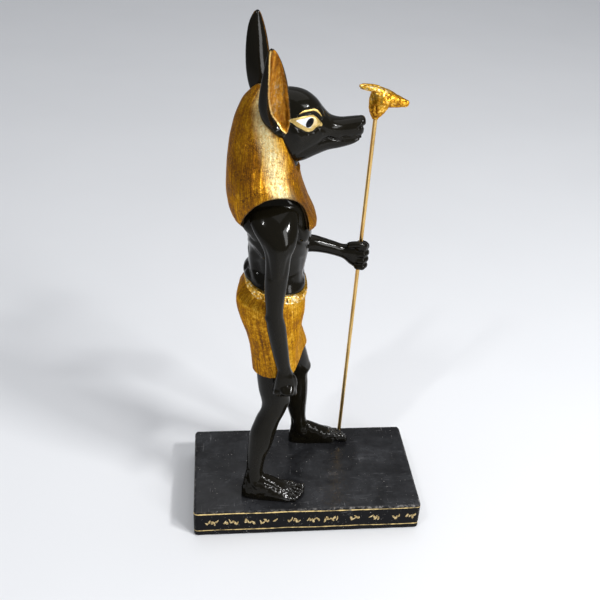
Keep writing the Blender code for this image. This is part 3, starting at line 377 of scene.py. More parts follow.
def smooth(rows, steps):
    """The rows with steps - 1 more in each gap, on a Catmull-Rom curve through them."""
    rows = np.array(rows, float)
    padded = np.vstack([2 * rows[0] - rows[1], rows, 2 * rows[-1] - rows[-2]])
    found = []
    for before, start, end, after in zip(padded, padded[1:], padded[2:], padded[3:]):
        for t in np.arange(steps) / steps:
            bend = (2 * before - 5 * start + 4 * end - after) * t**2
            swing = (3 * start - before - 3 * end + after) * t**3
            found.append((2 * start + (end - before) * t + bend + swing) / 2)
    found.append(rows[-1])
    return np.array(found)


def ring(centre, first, second, sides, power=2.0):
    """A closed ring with half-axes first and second: an ellipse, squarer above power 2."""
    angles = 2 * np.pi * (np.arange(sides) + 0.5) / sides
    across, up = np.cos(angles), np.sin(angles)
    across = np.sign(across) * np.abs(across) ** (2 / power)
    up = np.sign(up) * np.abs(up) ** (2 / power)
    return np.asarray(centre, float) + np.outer(across, first) + np.outer(up, second)


def level(rows, sides=48, steps=5, power=2.0):
    return [ring(r[:3], (abs(r[3]), 0, 0), (0, abs(r[4]), 0), sides, power) for r in smooth(rows, steps)]


def upright(rows, sides=48, steps=5, power=2.0):
    return [ring(r[:3], (0, abs(r[3]), 0), (0, 0, abs(r[4])), sides, power) for r in smooth(rows, steps)]


def at_middle(rows, aside=0.0):
    return [(r[0], MEDIAN + aside, *r[1:]) for r in rows]


def arc(centre, first, second, start, end, tube):
    """Rings of a tube along an arc of an ellipse, with rounded ends, as a bent finger has."""
    centre, first, second = (np.asarray(v, float) for v in (centre, first, second))
    across = np.cross(first, second)
    across /= np.linalg.norm(across)
    count, rings = 26, []
    for share in np.linspace(0, 1, count):
        angle = start + (end - start) * share
        middle = centre + first * math.cos(angle) + second * math.sin(angle)
        ahead = second * math.cos(angle) - first * math.sin(angle)
        outward = np.cross(ahead, across)
        outward /= np.linalg.norm(outward)
        near_end = min(share, 1 - share) * (count - 1) / 4
        radius = tube * (math.sqrt(max(0.02, 1 - (1 - near_end) ** 2)) if near_end < 1 else 1.0)
        rings.append(ring(middle, outward * radius, across * radius, 24))
    return rings


def blob(centre, half, sides=24):
    """Rings of an ellipsoid."""
    rings = []
    for share in np.linspace(-0.98, 0.98, 12):
        swell = math.sqrt(1 - share**2)
        middle = np.asarray(centre, float) + np.array([0, 0, share * half[2]])
        rings.append(ring(middle, (half[0] * swell, 0, 0), (0, half[1] * swell, 0), sides))
    return rings


def add_loft(maker, rings):
    loops = [[maker.verts.new(p) for p in points] for points in rings]
    faces = []
    for low, high in zip(loops, loops[1:]):
        for here, following in zip(range(len(low)), [*range(1, len(low)), 0]):
            faces.append(maker.faces.new((low[here], low[following], high[following], high[here])))
    faces.append(maker.faces.new(loops[0]))
    faces.append(maker.faces.new(loops[-1]))
    bmesh.ops.recalc_face_normals(maker, faces=faces)


def linked(name, data):
    made = bpy.data.objects.new(name, data)
    bpy.context.scene.collection.objects.link(made)
    return made


def mesh_object(name, maker):
    mesh = bpy.data.meshes.new(name)
    maker.to_mesh(mesh)
    maker.free()
    return linked(name, mesh)


def object_of(name, shells, convert=metres):
    """One mesh object from several closed lofts."""
    maker = bmesh.new()
    for rings in shells:
        add_loft(maker, [convert(points) for points in rings])
    return mesh_object(name, maker)


def applied(obj):
    """The object with its modifiers made part of its mesh."""
    graph = bpy.context.evaluated_depsgraph_get()
    graph.update()
    mesh = bpy.data.meshes.new_from_object(obj.evaluated_get(graph))
    obj.modifiers.clear()
    old, obj.data = obj.data, mesh
    bpy.data.meshes.remove(old)
    mesh.name = obj.name
    return obj


def remesh(obj):
    modifier = obj.modifiers.new("skin", "REMESH")
    modifier.mode = "VOXEL"
    modifier.voxel_size = VOXELS[obj.name] * MM
    return applied(obj)


def subtract(obj, cutter):
    modifier = obj.modifiers.new("cut", "BOOLEAN")
    modifier.operation = "DIFFERENCE"
    modifier.solver = "EXACT"
    modifier.object = cutter
    applied(obj)
    bpy.data.objects.remove(cutter, do_unlink=True)


def vectors_of(items, name):
    found = np.empty(len(items) * 3)
    items.foreach_get(name, found)
    return found.reshape(-1, 3)


def points_of(obj):
    return vectors_of(obj.data.vertices, "co")


def normals_of(obj):
    return vectors_of(obj.data.vertex_normals, "vector")


def set_points(obj, co):
    obj.data.vertices.foreach_set("co", np.ascontiguousarray(co, np.float64).ravel())
    obj.data.update()


def in_modules(obj):
    return (points_of(obj) - SOLES) / UNIT


def relax(obj, rounds):
    """Moves each vertex towards its neighbours and a little back, which rounds creases without shrinking."""
    co = points_of(obj)
    ends = np.empty(len(obj.data.edges) * 2, np.int64)
    obj.data.edges.foreach_get("vertices", ends)
    a, b = ends.reshape(-1, 2).T
    degree = np.bincount(np.concatenate([a, b]), minlength=len(co))[:, None]
    for turn in range(rounds):
        for step in (0.5, -0.51 if turn % 2 else -0.45):
            total = np.zeros_like(co)
            for axis in range(3):
                total[:, axis] = np.bincount(a, co[b, axis], len(co)) + np.bincount(b, co[a, axis], len(co))
            co += step * (total / degree - co)
    set_points(obj, co)


def distance(points, line):
    """Distance from each point to a polyline, in the line's own number of dimensions."""
    line = np.asarray(line, float)
    if len(line) == 1:
        return np.linalg.norm(points - line[0], axis=1)
    best = np.full(len(points), 1e9)
    for start, end in zip(line, line[1:]):
        along = end - start
        t = np.clip((points - start) @ along / (along @ along), 0, 1)
        best = np.minimum(best, np.linalg.norm(points - start - t[:, None] * along, axis=1))
    return best


def inside(points, outline):
    """Signed distance to a closed outline in the plane: below zero inside."""
    outline = np.asarray(outline, float)
    far = distance(points, np.vstack([outline, outline[:1]]))
    hit = np.zeros(len(points), bool)
    for (x0, z0), (x1, z1) in zip(outline, np.roll(outline, -1, axis=0)):
        spans = (z0 > points[:, 1]) != (z1 > points[:, 1])
        rise = z1 - z0 if z1 != z0 else 1e-9
        hit ^= spans & (points[:, 0] < (x1 - x0) * (points[:, 1] - z0) / rise + x0)
    return np.where(hit, -far, far)


def grows(values, start, span):
    """0 before start and 1 from start + span on, with a straight slope between them."""
    return np.clip((values - start) / span, 0, 1)


def between(values, ends):
    return (values > ends[0]) & (values < ends[1])


def relief(points, features):
    """How far features lift each point."""
    return sum(height * np.exp(-(distance(points, line) / width) ** 2) for line, width, height in features)


def lifted(obj, lift):
    """Moves each vertex along its normal, by modules."""
    set_points(obj, metres(in_modules(obj) + normals_of(obj) * lift[:, None]))


def paint(obj, name, values):
    """Holds a number, or a vector, for each vertex under a name."""
    kind, key = ("FLOAT", "value") if values.ndim == 1 else ("FLOAT_VECTOR", "vector")
    made = obj.data.attributes.new(name, kind, "POINT")
    made.data.foreach_set(key, np.ascontiguousarray(values, np.float32).ravel())


def seen(points, plane):
    """Where points show on the plane y = plane from VIEW_FROM: x and height. Left ones are mirrored first."""
    y = np.where(points[:, 1] > MEDIAN, 2 * MEDIAN - points[:, 1], points[:, 1])
    share = (plane - VIEW_FROM[1]) / (y - VIEW_FROM[1])
    return np.stack([VIEW_FROM[axis] + (points[:, axis] - VIEW_FROM[axis]) * share for axis in (0, 2)], axis=1)


def rough_noise(points, size, seed=0.0):
    return np.array([noise.noise((x / size + seed, y / size, z / size)) for x, y, z in points])


def place(obj, finish, slot, *nodes):
    obj.data.materials.clear()
    obj.data.materials.append(finish)
    obj.data.shade_smooth()
    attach(obj, "root")
    if nodes:
        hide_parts(*nodes)
    return obj


# Materials

class Value:
    """A node's output, with which one can reckon as with a number."""

    def __init__(self, shader, socket):
        self.shader, self.socket = shader, socket

    def __add__(self, other):
        return self.shader.math("ADD", self, other)

    def __sub__(self, other):
        return self.shader.math("SUBTRACT", self, other)

    def __rsub__(self, other):
        return self.shader.math("SUBTRACT", other, self)

    def __mul__(self, other):
        return self.shader.math("MULTIPLY", self, other)

    def __abs__(self):
        return self.shader.math("ABSOLUTE", self)


class Shader:
    """A short way to write node trees."""

    def __init__(self, name):
        self.material = bpy.data.materials.new(name)
        self.material.use_nodes = True
        self.tree = self.material.node_tree
        self.surface = self.tree.nodes["Principled BSDF"]

    def node(self, kind, settings=None, **inputs):
        """A new node. An input is given by its name, or by i and its number."""
        made = self.tree.nodes.new("ShaderNode" + kind)
        for key, value in (settings or {}).items():
            setattr(made, key, value)
        for key, value in inputs.items():
            numbered = key[0] == "i" and key[1:].isdigit()
            self.feed(made.inputs[int(key[1:]) if numbered else key.replace("_", " ")], value)
        return made

    def value(self, kind, settings=None, output=0, **inputs):
        return Value(self, self.node(kind, settings, **inputs).outputs[output])

    def feed(self, socket, value):
        if isinstance(value, Value):
            self.tree.links.new(value.socket, socket)
        elif socket.type == "RGBA":
            socket.default_value = (*value, 1)
        else:
            socket.default_value = value

    def attribute(self, name, output="Fac"):
        return self.value("Attribute", {"attribute_name": name}, output)

    def where(self):
        return self.value("TexCoord", output="Object")

    def axes(self, vector):
        made = self.node("SeparateXYZ", Vector=vector)
        return [Value(self, output) for output in made.outputs]

    def scaled(self, vector, *scale):
        return self.value("Mapping", {"vector_type": "POINT"}, Vector=vector, Scale=scale)

    def noise(self, vector, scale, detail=3.0, rough=0.55, twist=0.0):
        return self.value("TexNoise", None, "Fac", Vector=vector, Scale=scale, Detail=detail, Roughness=rough,
                          Distortion=twist)

    def math(self, operation, a, b=0.0):
        return self.value("Math", {"operation": operation}, i0=a, i1=b)

    def highest(self, *values):
        found = values[0]
        for value in values[1:]:
            found = self.math("MAXIMUM", found, value)
        return found

    def mapped(self, value, low, high, to_low=0.0, to_high=1.0, slope="LINEAR"):
        return self.value("MapRange", {"interpolation_type": slope}, i0=value, i1=low, i2=high, i3=to_low,
                          i4=to_high)

    def mix(self, factor, a, b):
        return self.value("Mix", {"data_type": "RGBA"}, 2, i0=factor, i6=a, i7=b)

    def ramp(self, value, *stops):
        made = self.node("ValToRGB", i0=value)
        elements = made.color_ramp.elements
        while len(elements) < len(stops):
            elements.new(0.5)
        for element, (at, colour) in zip(elements, stops):
            element.position = at
            element.color = (*colour, 1)
        return Value(self, made.outputs[0])

    def bump(self, height, strength, reach):
        return self.value("Bump", Strength=strength, Distance=reach * MM, Height=height)

    def set(self, **inputs):
        for key, value in inputs.items():
            self.feed(self.surface.inputs[key.replace("_", " ")], value)
        return self.material


BROWN = (0.085, 0.028, 0.002)
UMBER = (0.30, 0.115, 0.006)
OCHRE = (0.60, 0.285, 0.014)
GOLD = (0.90, 0.54, 0.075)
PALE_GOLD = (0.97, 0.88, 0.58)
# Pale gold of the wig's painted highlight
PAINTED_HIGHLIGHT_GOLD = (0.80, 0.72, 0.42)
GOLD_SHEEN = (0.80, 0.52, 0.20)
GOLD_LINE = (0.86, 0.64, 0.28)
# Dark brown of the painted shade under the wig's arches and at its lower edge
PAINTED_SHADE_BROWN = (0.022, 0.008, 0.001)
LACQUER = (0.0062, 0.0052, 0.0030)
DUSTY_LACQUER = (0.0120, 0.0094, 0.0050)
EYE_WHITE, EYE_YELLOW, PUPIL_BLACK = (0.80, 0.82, 0.84), (0.70, 0.54, 0.28), (0.006, 0.006, 0.008)
SLAB_BLACK, SLAB_HAZE, SLAB_SCRATCH = (0.011, 0.0110, 0.012), (0.058, 0.060, 0.066), (0.16, 0.16, 0.165)
SLAB_SPECK, SLAB_WEAR = (0.42, 0.40, 0.37), (0.33, 0.31, 0.29)


def gold_parts(shader, strands=None, bright=0.0, grain=1.0, sides=None, crackle=0.0, stranded=1.0,
               band=None, hollow=None):
    """Colour, metal share, roughness and normal of antique gold with brown in its hollows.

    sides gives how much brighter the gold is painted at the back, at the flank, before it and at the front,
    which is painted light and shade round the piece; stranded how clearly strands run down it; band a
    painted highlight, a paler stripe from a low place to a high one; and the last argument names the
    attribute where painted shade darkens it.
    """
    where = shader.where()
    mottle = shader.noise(where, 640.0, 5.0, 0.64, 0.6)
    cloud = shader.noise(where, 85.0, 3.0, 0.55)
    fleck = shader.noise(where, 2100.0, 3.0, 0.6)
    tone = mottle * 0.6 + cloud * 0.4
    height = mottle * 0.6 + fleck * 0.3
    if strands is not None:
        round_x, _, up = shader.axes(strands)
        fine = shader.noise(shader.scaled(strands, 1.0, 1.0, 0.03), 1.7, 4.0, 0.70, 0.15)
        broad = shader.noise(shader.scaled(strands, 1.0, 1.0, 0.10), 0.34, 2.0, 0.5, 0.3)
        tone = tone * (1 - 0.5 * stranded) + fine * (0.36 * stranded) + broad * (0.14 * stranded)
        height = height * 0.6 + fine * (1.2 * stranded)
    tone = (tone - 0.5) * 1.75 + (0.5 + bright)
    # Painted light and shade: the gold is made lighter or darker by which way it faces round the piece.
    if sides is not None:
        stops = [(at, (0.5 + gain,) * 3) for at, gain in zip((0.2, 0.52, 0.71, 0.9), sides)]
        ahead = shader.mapped(round_x, -STRAND_RADIUS, STRAND_RADIUS)
        tone = tone + (shader.ramp(ahead, *stops) - 0.5)
    # A painted highlight: a paler stripe up the piece, fading out at both ends.
    if band is not None:
        low_z, low_x, high_z, high_x, half, gain = band
        middle = shader.mapped(up, low_z, high_z, low_x, high_x)
        painted_highlight = shader.mapped(abs(round_x - middle), 0.0, half, gain, 0.0, "SMOOTHSTEP")
        fade = shader.mapped(up, low_z - 12, low_z - 2, 0.55, 1.0)
        painted_highlight = painted_highlight * (fade * shader.mapped(up, high_z, high_z + 9, 1.0, 0.45))
        tone = tone + painted_highlight
    if crackle:
        cells = shader.value("TexVoronoi", {"feature": "DISTANCE_TO_EDGE"}, "Distance", Vector=where,
                             Scale=900.0)
        veins = shader.mapped(cells, 0.0, 0.14, 1.0, 0.0)
        veins = veins * shader.mapped(shader.noise(where, 120.0, 2.0), 0.42, 0.60) * crackle
        tone = tone - veins * 0.20
        height = height - veins * 0.5
    colour = shader.ramp(tone, (0.24, BROWN), (0.39, UMBER), (0.52, OCHRE), (0.65, GOLD), (0.80, PALE_GOLD))
    # The painted highlight's pale gold, broken up by the mottle.
    if band is not None:
        pale = painted_highlight * shader.mapped(mottle, 0.36, 0.56, 0.25 / gain, 0.9 / gain)
        colour = shader.mix(pale, colour, PAINTED_HIGHLIGHT_GOLD)
    metal = shader.mapped(tone, 0.28, 0.46, 0.45, 1.0)
    rough = shader.mapped(tone, 0.3, 0.75, 0.52, 0.30)
    # Painted shade: darker, less metallic gold where the named attribute says.
    if hollow is not None:
        dark = shader.attribute(hollow)
        colour = shader.mix(dark, colour, PAINTED_SHADE_BROWN)
        metal = metal * (1.0 - dark)
    return colour, metal, rough, shader.bump(height, 0.65 * grain, 0.4)


def make_gold(name, strand_name=None, coat=0.12, **look):
    shader = Shader(name)
    strands = shader.attribute(strand_name, "Vector") if strand_name else None
    colour, metal, rough, normal = gold_parts(shader, strands, **look)
    shader.set(Base_Color=colour, Metallic=metal, Roughness=rough, Normal=normal)
    return shader.set(Coat_Weight=coat, Coat_Roughness=0.2, Specular_Tint=GOLD_SHEEN)


def make_mark_paint(name):
    """Dull pale gold paint, thin in places."""
    shader = Shader(name)
    thin = shader.noise(shader.where(), 800.0, 3.0, 0.6)
    colour = shader.ramp(thin, (0.34, (0.22, 0.14, 0.045)), (0.5, (0.52, 0.38, 0.16)),
                         (0.66, (0.78, 0.64, 0.36)))
    shader.set(Base_Color=colour, Roughness=shader.mapped(thin, 0.3, 0.7, 0.6, 0.42))
    return shader.set(Metallic=0.25, Normal=shader.bump(thin, 0.3, 0.1))


def make_rod_gold(name):
    """Drawn brass rod: smooth, with faint streaks along it and a little tarnish."""
    shader = Shader(name)
    where = shader.where()
    streak = shader.noise(shader.scaled(where, 1.0, 1.0, 0.03), 1500.0, 3.0, 0.6)
    stain = shader.noise(shader.scaled(where, 1.0, 1.0, 0.4), 130.0, 4.0, 0.6)
    tone = streak * 0.5 + stain * 0.5
    colour = shader.ramp(tone, (0.32, (0.34, 0.18, 0.045)), (0.47, (0.62, 0.39, 0.12)),
                         (0.62, (0.80, 0.56, 0.22)))
    rough = shader.mapped(tone, 0.3, 0.7, 0.40, 0.26)
    shader.set(Base_Color=colour, Roughness=rough, Normal=shader.bump(streak, 0.15, 0.1))
    return shader.set(Metallic=1.0, Coat_Weight=0.15, Coat_Roughness=0.15)


def lacquer_parts(shader):
    where = shader.where()
    waves = shader.noise(where, 160.0, 2.0, 0.5)
    pores = shader.noise(where, 900.0, 3.0, 0.6)
    dust = shader.noise(where, 70.0, 4.0, 0.6)
    colour = shader.mix(shader.mapped(dust, 0.5, 0.75, 0.0, 0.5), LACQUER, DUSTY_LACQUER)
    rough = shader.mapped(dust + pores * 0.3, 0.45, 0.9, 0.10, 0.24)
    return colour, rough, shader.bump(waves + pores * 0.12, 0.22, 0.5)


def make_lacquer(name, gloss=None):
    """Black lacquer. gloss names an attribute that says where its coat is thicker."""
    shader = Shader(name)
    colour, rough, normal = lacquer_parts(shader)
    shader.set(Base_Color=colour, Roughness=rough, Normal=normal)
    coat = shader.mapped(shader.attribute(gloss), 0.0, 1.0, 0.2, 1.0) if gloss else 0.2
    return shader.set(Coat_Weight=coat, Coat_Roughness=0.03, Specular_IOR_Level=0.05)


def make_head_paint(name):
    """Lacquer with the painted eyes, brows and ear linings, from signed distances held on the mesh."""
    shader = Shader(name)
    where = shader.where()
    black, black_rough, black_normal = lacquer_parts(shader)
    gold, _, _, gold_normal = gold_parts(shader, None, 0.03)
    wobble = (shader.noise(where, 1100.0, 2.0) - 0.5) * 0.5

    def painted(attribute, soft, ragged):
        return shader.mapped(shader.attribute(attribute) + wobble * ragged, -soft, soft, 1.0, 0.0)

    lining = painted("lining", 0.25, 1.6)
    line = painted("gold_line", 0.10, 0.5)
    white = painted("eye_white", 0.08, 0.3)
    yellow = painted("eye_yellow", 0.35, 0.8)
    pupil = painted("pupil", 0.08, 0.2)
    lining_highlight = painted("lining_highlight_line", 0.3, 1.2)
    strokes = shader.noise(shader.scaled(where, 1.0, 1.0, 0.22), 520.0, 4.0, 0.62)
    lining_colour = shader.ramp(strokes, (0.34, (0.09, 0.025, 0.001)), (0.5, (0.32, 0.105, 0.004)),
                                (0.68, (0.66, 0.29, 0.02)))
    lining_colour = shader.mix(0.2, lining_colour, gold)
    # A pale line along each lining's rear edge: a painted highlight.
    lining_colour = shader.mix(lining_highlight, lining_colour, (0.93, 0.66, 0.24))
    line_colour = shader.mix(shader.noise(where, 700.0, 2.0), (0.42, 0.24, 0.03), (0.88, 0.68, 0.28))
    colour = black
    for share, paint_colour in ((lining, lining_colour), (line, line_colour), (white, EYE_WHITE),
                                (yellow, EYE_YELLOW), (pupil, PUPIL_BLACK)):
        colour = shader.mix(share, colour, paint_colour)
    gilt = shader.highest(lining, line) * (1.0 - shader.highest(white, yellow, pupil))
    rough = gilt * 0.24 + black_rough
    normal = shader.value("Mix", {"data_type": "VECTOR"}, 1, i0=gilt, i4=black_normal, i5=gold_normal)
    shader.set(Base_Color=colour, Metallic=gilt * 0.85, Roughness=rough, Normal=normal)
    return shader.set(Coat_Weight=0.2, Coat_Roughness=0.04, Specular_IOR_Level=0.05)


def make_slab(name):
    """Satin black with dust, fine scratches, worn edges and two painted gold lines round its side."""
    shader = Shader(name)
    where = shader.where()
    facing_up = shader.attribute("top")
    dust = shader.noise(where, 42.0, 5.0, 0.65, 0.4)
    smear = shader.noise(shader.scaled(where, 0.5, 1.0, 1.0), 110.0, 4.0, 0.7, 1.2)
    along = shader.noise(shader.scaled(where, 0.25, 5.0, 1.0), 260.0, 2.0, 0.5, 0.1)
    across = shader.noise(shader.scaled(where, 4.0, 0.35, 1.0), 210.0, 2.0, 0.5, 0.3)
    scratches = shader.highest(shader.mapped(along, 0.665, 0.70), shader.mapped(across, 0.675, 0.71))
    scratches = scratches * shader.mapped(smear, 0.45, 0.62, 0.0, 0.5)
    haze = shader.mapped(dust, 0.42, 0.72, 0.0, 0.7) * shader.mapped(smear, 0.35, 0.65, 0.3, 1.0) * facing_up
    colour = shader.mix(haze, SLAB_BLACK, SLAB_HAZE)
    colour = shader.mix(scratches, colour, SLAB_SCRATCH)
    speck = shader.mapped(shader.noise(where, 900.0, 1.0, 0.5), 0.755, 0.775)
    colour = shader.mix(speck * 0.8, colour, SLAB_SPECK)
    ragged = (shader.noise(where, 240.0, 4.0, 0.6) - 0.5) * (1.1 * MM)
    height = shader.axes(where)[2] + (shader.noise(where, 26.0, 1.0) - 0.5) * (1.6 * MM)

    def stripe(at, half):
        return shader.mapped(abs(height - at) + ragged, half - 0.08 * MM, half + 0.10 * MM, 1.0, 0.0)

    lines = shader.highest(stripe(*UPPER_LINE), stripe(*LOWER_LINE))
    lines = lines * shader.mapped(shader.noise(where, 130.0, 4.0, 0.65), 0.33, 0.5, 0.25, 1.0)
    worn = shader.attribute("edge") * shader.mapped(shader.noise(where, 320.0, 5.0, 0.7), 0.48, 0.60)
    colour = shader.mix(worn * 0.75, colour, SLAB_WEAR)
    colour = shader.mix(lines, colour, GOLD_LINE)
    rough = shader.mapped(dust + smear * 0.5, 0.55, 1.05, 0.13, 0.36) + worn * 0.2
    normal = shader.bump(shader.noise(where, 300.0, 3.0) * 0.6 + scratches, 0.18, 0.25)
    shader.set(Base_Color=colour, Roughness=rough, Metallic=lines * 0.3, Normal=normal)
    shader.set(Specular_IOR_Level=shader.mapped(facing_up, 0.1, 0.8, 0.02, 0.22))
    return shader.set(Coat_Weight=shader.mapped(facing_up, 0.1, 0.8, 0.02, 0.12), Coat_Roughness=0.16)


def make_floor(name):
    shader = Shader(name)
    colour = shader.mix(shader.noise(shader.where(), 6.0, 2.0), (0.80, 0.81, 0.83), (0.84, 0.85, 0.87))
    return shader.set(Base_Color=colour, Roughness=0.55)


# Forms

def foot_frame(heel_x, heel_y, turn, side):
    """A foot's heel, and the directions to its toes, to its left and to its outer side."""
    along = np.array([math.cos(turn), math.sin(turn), 0])
    left = np.array([-along[1], along[0], 0])
    return np.array([heel_x, heel_y, 0]), along, left, side * left


def raised(point, z):
    return np.array([point[0], point[1], z])


def foot(placing):
    """Rings of a foot and its toes. The big toe is on the inner side."""
    heel, along, left, outward = foot_frame(*placing)

    def flat(points):
        points[:, 2] = np.maximum(points[:, 2], -SINK)
        return points

    shells = []
    for lean, share, narrow, power in FOOT_LOBES:
        rings = []
        for reach, wide, high in smooth(FOOT[:-1], 5):
            middle = heel + along * reach - outward * lean * min(1, reach / 12)
            rings.append(flat(ring(raised(middle, 0.36 * high * share), left * wide * narrow,
                                   (0, 0, 0.64 * high * share), 56, power)))
        shells.append(rings)
    for aside, reach, radius in TOES:
        base = heel - outward * aside
        stations = [(TOE_ROOT, 0.70, 3.0)] + [(reach - back * radius, wide, high) for back, wide, high in TOE]
        shells.append([
            flat(ring(raised(base + along * at, 0.95 * radius * high), left * radius * wide * 0.80,
                      (0, 0, radius * wide * 1.18), 28))
            for at, wide, high in smooth(stations, 4)
        ])
    return shells


def toe_marks(placing):
    """The nails and the clefts between the toes, as features for sculpting."""
    heel, along, _, outward = foot_frame(*placing)
    found = []
    for aside, reach, radius in TOES:
        for back, high, width, height in NAIL:
            at = heel - outward * aside + along * (reach - back * radius)
            found.append(([raised(at, high * radius)], width * radius, height * radius))
    for (aside, reach, radius), (aside_b, reach_b, radius_b) in zip(TOES, TOES[1:]):
        middle = heel - outward * (aside - radius + aside_b + radius_b) / 2
        cleft = (*CLEFT_START, (min(reach, reach_b) - radius_b, CLEFT_END_HEIGHT))
        found.append(([raised(middle + along * at, high) for at, high in cleft], CLEFT_WIDTH, CLEFT_LIFT))
    return found


def hands():
    shells = [level(RIGHT_PALM, 56, 6, 2.9), level(RIGHT_KNUCKLES, 32, 6, 2.4)]
    shells += [blob(*lump) for lump in PALM_LUMPS]
    for x in np.linspace(*RIGHT_FINGERS_X, FINGER_COUNT):
        shells.append(arc((x, *RIGHT_CURL_AT), *RIGHT_CURL))
    shells.append(arc(*RIGHT_THUMB))
    x, y = GRIP[:2]
    ahead, aside = LEFT_KNUCKLE_FROM_GRIP
    for z, reach in zip(np.linspace(*LEFT_FINGERS_Z, FINGER_COUNT), LEFT_REACHES):
        shells.append(arc((x, y, z), (reach, 0, 0), *LEFT_CURL))
        shells.append(blob((x + ahead, y + aside, z), LEFT_KNUCKLE))
    shells.append(arc(*LEFT_THUMB))
    return shells


def make_torso(finish):
    """Chest, back, arms and fists, down to below the belt."""
    shells = [level(at_middle(TORSO), 72, 5, 2.15), level(at_middle(WAIST), 72, 5, 2.5)]
    shells += [level(at_middle(BREAST, side * BREAST_FROM_MEDIAN), 40) for side in SIDES]
    shells += [blob(*lump, 40) for lump in BELLY]
    for side in SIDES:
        shells.append(level([(x, MEDIAN + side * (MEDIAN - y), *rest) for x, y, *rest in SHOULDER], 72, 5, 3.0))
    shells += [level(RIGHT_ARM), level(LEFT_UPPER_ARM), upright(LEFT_FOREARM), *hands()]
    torso = remesh(object_of("torso", shells))
    relax(torso, 5)
    lifted(torso, relief(in_modules(torso), TORSO_FEATURES))
    co = in_modules(torso)
    trunk = between(np.abs(co[:, 1] - MEDIAN), TRUNK_BESIDE) & between(co[:, 2], TRUNK_HEIGHTS)
    trunk &= co[:, 0] < TRUNK_FRONT
    lifted(torso, relief(seen(co, RIB_PLANE), RIB_FEATURES) * trunk)
    relax(torso, 2)
    place(torso, finish, "painted_casting", "figure")


def make_legs(finish):
    shells = [level(RIGHT_LEG, 56), level(LEFT_LEG, 56), *foot(RIGHT_FOOT), *foot(LEFT_FOOT)]
    legs = remesh(object_of("legs", shells))
    relax(legs, 3)
    lifted(legs, relief(in_modules(legs), [*LEG_FEATURES, *toe_marks(RIGHT_FOOT), *toe_marks(LEFT_FOOT)]))
    co = in_modules(legs)
    heel = np.where(co[:, 1] < MEDIAN, RIGHT_FOOT[0], LEFT_FOOT[0])
    above_ground = grows(co[:, 2], 0.6, 1.5)
    toes = grows(co[:, 0] - heel, 23, 4) * grows(co[:, 2], 9, -2) * above_ground
    lumps = 0.26 * rough_noise(co, 3.4, 1.0) + 0.12 * rough_noise(co, 1.8, 6.0)
    lumps *= grows(co[:, 2], 17, -5) * above_ground
    lifted(legs, lumps + 0.40 * toes * rough_noise(co, 2.3, 9.0))
    paint(legs, "gloss", toes)
    place(legs, finish, "painted_casting", "figure")


def ear(rows, side):
    """Rings of an ear. Its outer face is hollowed between two rims, and its inner one has a keel."""
    rings = []
    for x, out, z, wide, deep in smooth(rows, 8):
        wide, deep = abs(wide), abs(deep)
        angles = 2 * np.pi * (np.arange(EAR_SIDES) + 0.5) / EAR_SIDES
        u, v = np.cos(angles), np.sin(angles)
        share = (u - 0.22) / 0.70
        dip = np.where(v > 0, np.clip(1 - share**2, 0, 1) ** 0.75, 0) * 1.1
        fill = min(1.0, max(0.0, (z - rows[0][2] - 2.5) / 5.0), max(0.0, (rows[-1][2] - z) / 4.0))
        v = np.where(v < 0, 0.6 * v - 0.4 * (1 - np.abs(u)), v - dip * fill * np.minimum(1.0, 0.25 + np.abs(v)))
        rings.append(np.stack([x + wide * u, MEDIAN + side * (out + deep * v), np.full(EAR_SIDES, z)], axis=1))
    return rings


def ear_distances(points, rows, side):
    """Signed distance to the ear lining's edge, and to a painted highlight line along its rear edge."""
    low, high = rows[0][2], rows[-1][2]
    rows = smooth(rows, 8)
    order = np.argsort(rows[:, 2])
    x, out, wide, deep = (np.interp(points[:, 2], rows[order, 2], rows[order, i]) for i in (0, 1, 3, 4))
    wide, deep = np.maximum(wide, 0.3), np.maximum(deep, 0.3)
    u = (points[:, 0] - x) / wide
    v = side * (points[:, 1] - (MEDIAN + side * out)) / deep
    share = (points[:, 2] - low) / (high - low)
    rear_limit = np.interp(share, (0.05, 0.10, 0.26, 0.5, 0.76, 0.92, 1.0),
                           (0.75, 0.22, -0.24, -0.43, -0.54, -0.68, -0.8))
    rear = (rear_limit - u) * wide
    front = (u - 0.90) * wide
    ends = np.maximum(low + 2.6 - points[:, 2], points[:, 2] - high + 0.8)
    found = np.maximum(np.maximum(rear, front), np.maximum(ends, (-0.3 - v) * deep))
    near = (points[:, 2] > low - 1) & (np.abs(u) < 1.3)
    found = np.where(near, found, FAR)
    return found, np.where(near & (v > -0.3), np.maximum(np.abs(rear + 0.35) - 0.36, found), FAR)


